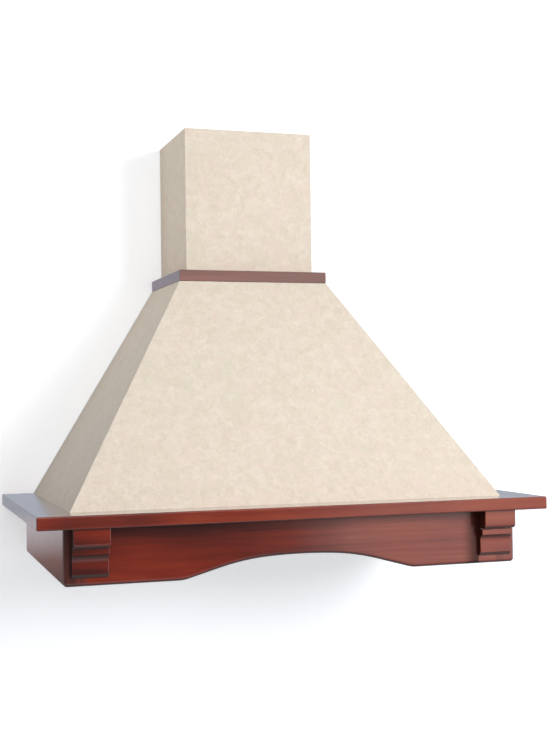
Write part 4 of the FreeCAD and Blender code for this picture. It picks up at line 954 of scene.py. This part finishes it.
def foilTree(finish, wide, deep, high):  # layers of expanded foil: diamonds cut from one turned grid
    s = foilSettings
    tree = bpy.data.node_groups.new("expandedFoil", "GeometryNodeTree")
    tree.interface.new_socket("Start", in_out="INPUT", socket_type="NodeSocketGeometry")
    tree.interface.new_socket("Cell", in_out="INPUT", socket_type="NodeSocketFloat")
    tree.interface.new_socket("Foil", in_out="OUTPUT", socket_type="NodeSocketGeometry")
    b = Bench(tree)
    source, end = b.add("NodeGroupInput"), b.add("NodeGroupOutput")
    cell = Field(tree, source.outputs["Cell"])
    span = (wide + deep) * s["span"]
    count = cell.term("ROUND", span / cell)
    grid = b.add("GeometryNodeMeshGrid", {}, {
        "Size X": span, "Size Y": span, "Vertices X": count, "Vertices Y": count,
    })
    section = {"Width": s["foil"], "Height": s["strand"]}
    strand = b.add("GeometryNodeCurvePrimitiveQuadrilateral", {}, section)
    x, y = b.axes(b.add("GeometryNodeInputPosition").outputs[0])[:2]
    more = {"operation": "GREATER_THAN"}
    outX = b.add("FunctionNodeCompare", more, {"A": x.term("ABSOLUTE", x), "B": wide / 2 - s["strand"]})
    outY = b.add("FunctionNodeCompare", more, {"A": y.term("ABSOLUTE", y), "B": deep / 2 - s["strand"]})
    either = {0: outX.outputs[0], 1: outY.outputs[0]}
    outside = b.add("FunctionNodeBooleanMath", {"operation": "OR"}, either)
    joined = b.add("GeometryNodeJoinGeometry")
    for layer in range(s["layers"]):
        along, across = [s["cell"] * share * layer for share in s["shift"]]
        diagonal = b.add("GeometryNodeTransform", {}, {
            "Geometry": grid.outputs["Mesh"],
            "Rotation": (0, 0, math.radians(45)),
            "Translation": (along, across, 0),
        })
        flatter = b.add("GeometryNodeTransform", {}, {
            "Geometry": diagonal.outputs[0], "Scale": (1.0, s["squash"], 1.0),
        })
        kept = b.add("GeometryNodeDeleteGeometry", {"domain": "POINT"}, {
            "Geometry": flatter.outputs[0], "Selection": outside.outputs[0],
        })
        swing = x.term("SINE", x * (2 * math.pi / s["waveLength"]) + layer * s["phase"])
        level = (layer / (s["layers"] - 1) - 0.5) * (high - 2 * s["wave"] - s["strand"])
        lift = b.add("ShaderNodeCombineXYZ", {}, {"Z": swing * s["wave"] + level})
        waved = b.add("GeometryNodeSetPosition", {}, {
            "Geometry": kept.outputs[0], "Offset": lift.outputs[0],
        })
        lines = b.add("GeometryNodeMeshToCurve", {}, {"Mesh": waved.outputs[0]})
        solid = b.add("GeometryNodeCurveToMesh", {}, {
            "Curve": lines.outputs[0], "Profile Curve": strand.outputs[0],
        })
        tree.links.new(solid.outputs[0], joined.inputs[0])
    real = b.add("GeometryNodeRealizeInstances", {}, {"Geometry": joined.outputs[0]})
    done = b.add("GeometryNodeSetMaterial", {}, {"Geometry": real.outputs[0], "Material": finish})
    feed(tree, end.inputs["Foil"], done.outputs["Geometry"])
    return tree


def makeFoils(finishes):
    for side in ("left", "right"):
        low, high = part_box("filter_mesh_" + side)
        size = [high[i] - low[i] for i in range(3)]
        start = bpy.data.meshes.new("foilStart")
        start.from_pydata([(0, 0, 0)], [], [])
        tree = foilTree(finishes["aluminium"], *size)
        mesh = evaluated("filterFoil", start, tree, {"Cell": foilSettings["cell"]})
        mesh.transform(Matrix.Translation([(low[i] + high[i]) / 2 for i in range(3)]))
        name = "filterFoil" + side.capitalize()
        node = "filter_mesh_" + side
        addPiece(name, mesh, finishes["aluminium"], "filter_" + side, (node,))
        print(name, len(mesh.polygons), "faces")


lensSettings = {
    "rings": 11,
    "depth": 0.00035,
    "edge": 0.0003,
    "segments": 72,
    "hub": 0.02,  # from here on shares of the radius
    "first": 0.04,
    "ringed": 0.86,
    "ringFill": 0.85,
    "rim": 0.93,
    "back": 0.5,
}


def makeLenses(finishes):  # pressed glass with stepped rings on the side that faces the hob
    s = lensSettings
    for side in ("left", "right"):
        low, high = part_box("lamp_lens_" + side)
        radius, height = (high[0] - low[0]) / 2, high[2] - low[2]
        rows = [(radius * s["hub"], s["depth"])]
        for ring in range(s["rings"]):
            inner = radius * (s["first"] + s["ringed"] * ring / s["rings"])
            outer = radius * (s["first"] + s["ringed"] * (ring + s["ringFill"]) / s["rings"])
            rows += [(inner, s["depth"]), (outer, 0.0)]
        rows += [(radius * s["rim"], 0.0), (radius, s["edge"]), (radius, height)]
        rows += [(radius * s["back"], height), (radius * s["hub"], height)]
        mesh = turned("lens", rows, s["segments"])
        mesh.transform(Matrix.Translation(((low[0] + high[0]) / 2, (low[1] + high[1]) / 2, low[2])))
        name = "lampGlass" + side.capitalize()
        addPiece(name, mesh, finishes["lamp_glass"], "hood", ("lamp_lens_" + side,))


motorSettings = {
    "radius": 0.042,
    "round": 0.004,
    "arc": (0.0, 0.4, 0.8, 1.2, 1.57),  # angles of the rounding's rows
    "boss": 0.004,
    "bossRadius": 0.014,
    "bore": 0.00404,
    "chamfer": 0.0006,
    "plate": (0.016, 0.019),
    "fins": 36,
    "finDepth": 0.0016,
    "finFrom": 0.2,  # level of the sine above which it is cut
    "finInset": 0.001,
    "slots": 12,
    "slotDepth": 0.0016,
    "slotFrom": 0.1,
    "ventRows": (0.42, 0.43, 0.6, 0.78, 0.79),  # shares of the radius; the middle three are pressed in
    "segments": 288,
}


def makeMotor(finishes):  # turned round its shaft, with cooling fins along the can and vents in its ends
    s = motorSettings
    low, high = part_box("motor_housing")
    length = high[0] - low[0]
    flange = (high[1] - low[1]) / 2
    r, rim, boss, hub, edge = s["radius"], s["round"], s["boss"], s["bossRadius"], s["chamfer"]
    near, far = s["plate"]
    rows = [(s["bore"], 0), (hub - edge, 0), (hub, edge), (hub, boss)]
    firstVent = len(rows) + 1
    rows += [(r * share, boss) for share in s["ventRows"]]
    rows += [(r - rim + rim * math.sin(t), boss + rim - rim * math.cos(t)) for t in s["arc"]]
    short = (len(rows), len(rows) + 2)  # rows that carry fins, before and after the plate
    rows += [(r, boss + rim + s["finInset"]), (r, near - edge), (r, near)]
    rows += [(flange, near), (flange, far), (r, far)]
    long = (len(rows), len(rows) + 2)
    rows += [(r, far + edge), (r, length - boss - rim - s["finInset"])]
    rows += [(r - rim + rim * math.cos(t), length - boss - rim + rim * math.sin(t)) for t in s["arc"]]
    lastVent = len(rows) + 1
    rows += [(r * share, length - boss) for share in reversed(s["ventRows"])]
    rows += [(hub, length - boss), (hub, length - edge), (hub - edge, length), (s["bore"], length)]

    def cut(index, radius, height, angle):
        if short[0] <= index < short[1] or long[0] <= index < long[1]:
            radius -= s["finDepth"] * (math.sin(s["fins"] * angle) > s["finFrom"])
        slot = math.cos(s["slots"] * angle) > s["slotFrom"]
        if firstVent <= index < firstVent + 3:
            height += s["slotDepth"] * slot
        if lastVent <= index < lastVent + 3:
            height -= s["slotDepth"] * slot
        return radius, height

    mesh = turned("motorCan", rows, s["segments"], cut, True)
    mesh.transform(Matrix.Rotation(math.radians(90), 4, "Y"))
    mesh.transform(Matrix.Translation((low[0], (low[1] + high[1]) / 2, (low[2] + high[2]) / 2)))
    addPiece("motorCan", mesh, finishes["motor_metal"], "hood", ("motor_housing",))


def boxesMesh(name, boxes, rounding):
    form = bmesh.new()
    for low, high in boxes:
        size = [high[i] - low[i] for i in range(3)]
        place = Matrix.Translation([(low[i] + high[i]) / 2 for i in range(3)])
        bmesh.ops.create_cube(form, size=1.0, matrix=place @ Matrix.Diagonal((*size, 1.0)))
    bmesh.ops.bevel(form, geom=form.edges[:], offset=rounding, segments=2, profile=0.5, affect="EDGES")
    return smoothed(form, name)


markSettings = {
    "proud": 0.00015,
    "sunk": 0.0001,
    "bar": 0.0011,
    "gap": 0.0024,
    "length": 0.0052,
    "rounding": 0.00006,
    "ring": (0.0016, 0.0026),
    "segments": 40,
}


def makeMarks(finishes):  # a ring on the light's button, one to three bars on those of the speeds
    s = markSettings
    bodies = ["light_button", "speed_button_1", "speed_button_2", "speed_button_3"]
    for index, body in enumerate(bodies):
        node = "button_" + str(index + 1)
        low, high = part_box(node)
        x, y, z = (low[0] + high[0]) / 2, (low[1] + high[1]) / 2, low[2]
        name = "mark" + str(index + 1)
        if index == 0:
            inner, outer = s["ring"]
            rows = [(inner, s["sunk"]), (inner, -s["proud"]), (outer, -s["proud"]), (outer, s["sunk"])]
            mesh = turned(name, rows, s["segments"], ring=True)
            mesh.transform(Matrix.Translation((x, y, z)))
        else:
            boxes = []
            for bar in range(index):
                center = x + (bar - (index - 1) / 2) * s["gap"]
                start = (center - s["bar"] / 2, y - s["length"] / 2, z - s["proud"])
                boxes.append((start, (center + s["bar"] / 2, y + s["length"] / 2, z + s["sunk"])))
            mesh = boxesMesh(name, boxes, s["rounding"])
        addPiece(name, mesh, finishes["mark"], body)


gripSettings = {
    "pitch": 0.0032,
    "width": 0.0014,
    "proud": 0.0004,
    "margin": 0.0022,
    "foot": 0.0003,
    "level": 0.0002,  # points this close to the lowest one are the latch's underside
}


def makeGrips(finishes):  # ridges under each filter latch, where a finger pulls it
    s = gripSettings
    for side in ("left", "right"):
        node = "filter_latch_" + side
        low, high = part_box(node)
        flat = [v.co for v in nodes[node].data.vertices if v.co.z < low[2] + s["level"]]
        x0, x1 = min(p.x for p in flat) + s["margin"], max(p.x for p in flat) - s["margin"]
        y0, y1 = min(p.y for p in flat) + s["foot"], max(p.y for p in flat) - s["foot"]
        count = max(2, int((x1 - x0) / s["pitch"]) + 1)
        boxes = []
        for index in range(count):
            x = x0 + (x1 - x0) * index / (count - 1)
            start = (x - s["width"] / 2, y0, low[2] - s["proud"])
            boxes.append((start, (x + s["width"] / 2, y1, low[2] + s["foot"])))
        mesh = boxesMesh("latchGrip", boxes, s["proud"] / 2)
        name = "latchGrip" + side.capitalize()
        addPiece(name, mesh, finishes["control_plastic"], "latch_" + side)


# The scene

makeCamera()
makeWorld()
makeLamps()
makeStage()
print("studio ready")
finishes = makeFinishes()
dressNodes(finishes)
print("finishes ready:", len(finishes))
makeFasteners(finishes)
makeFoils(finishes)
makeLenses(finishes)
makeMotor(finishes)
makeMarks(finishes)
makeGrips(finishes)
print("pieces ready")

bpy.context.scene.view_settings.view_transform = "Standard"
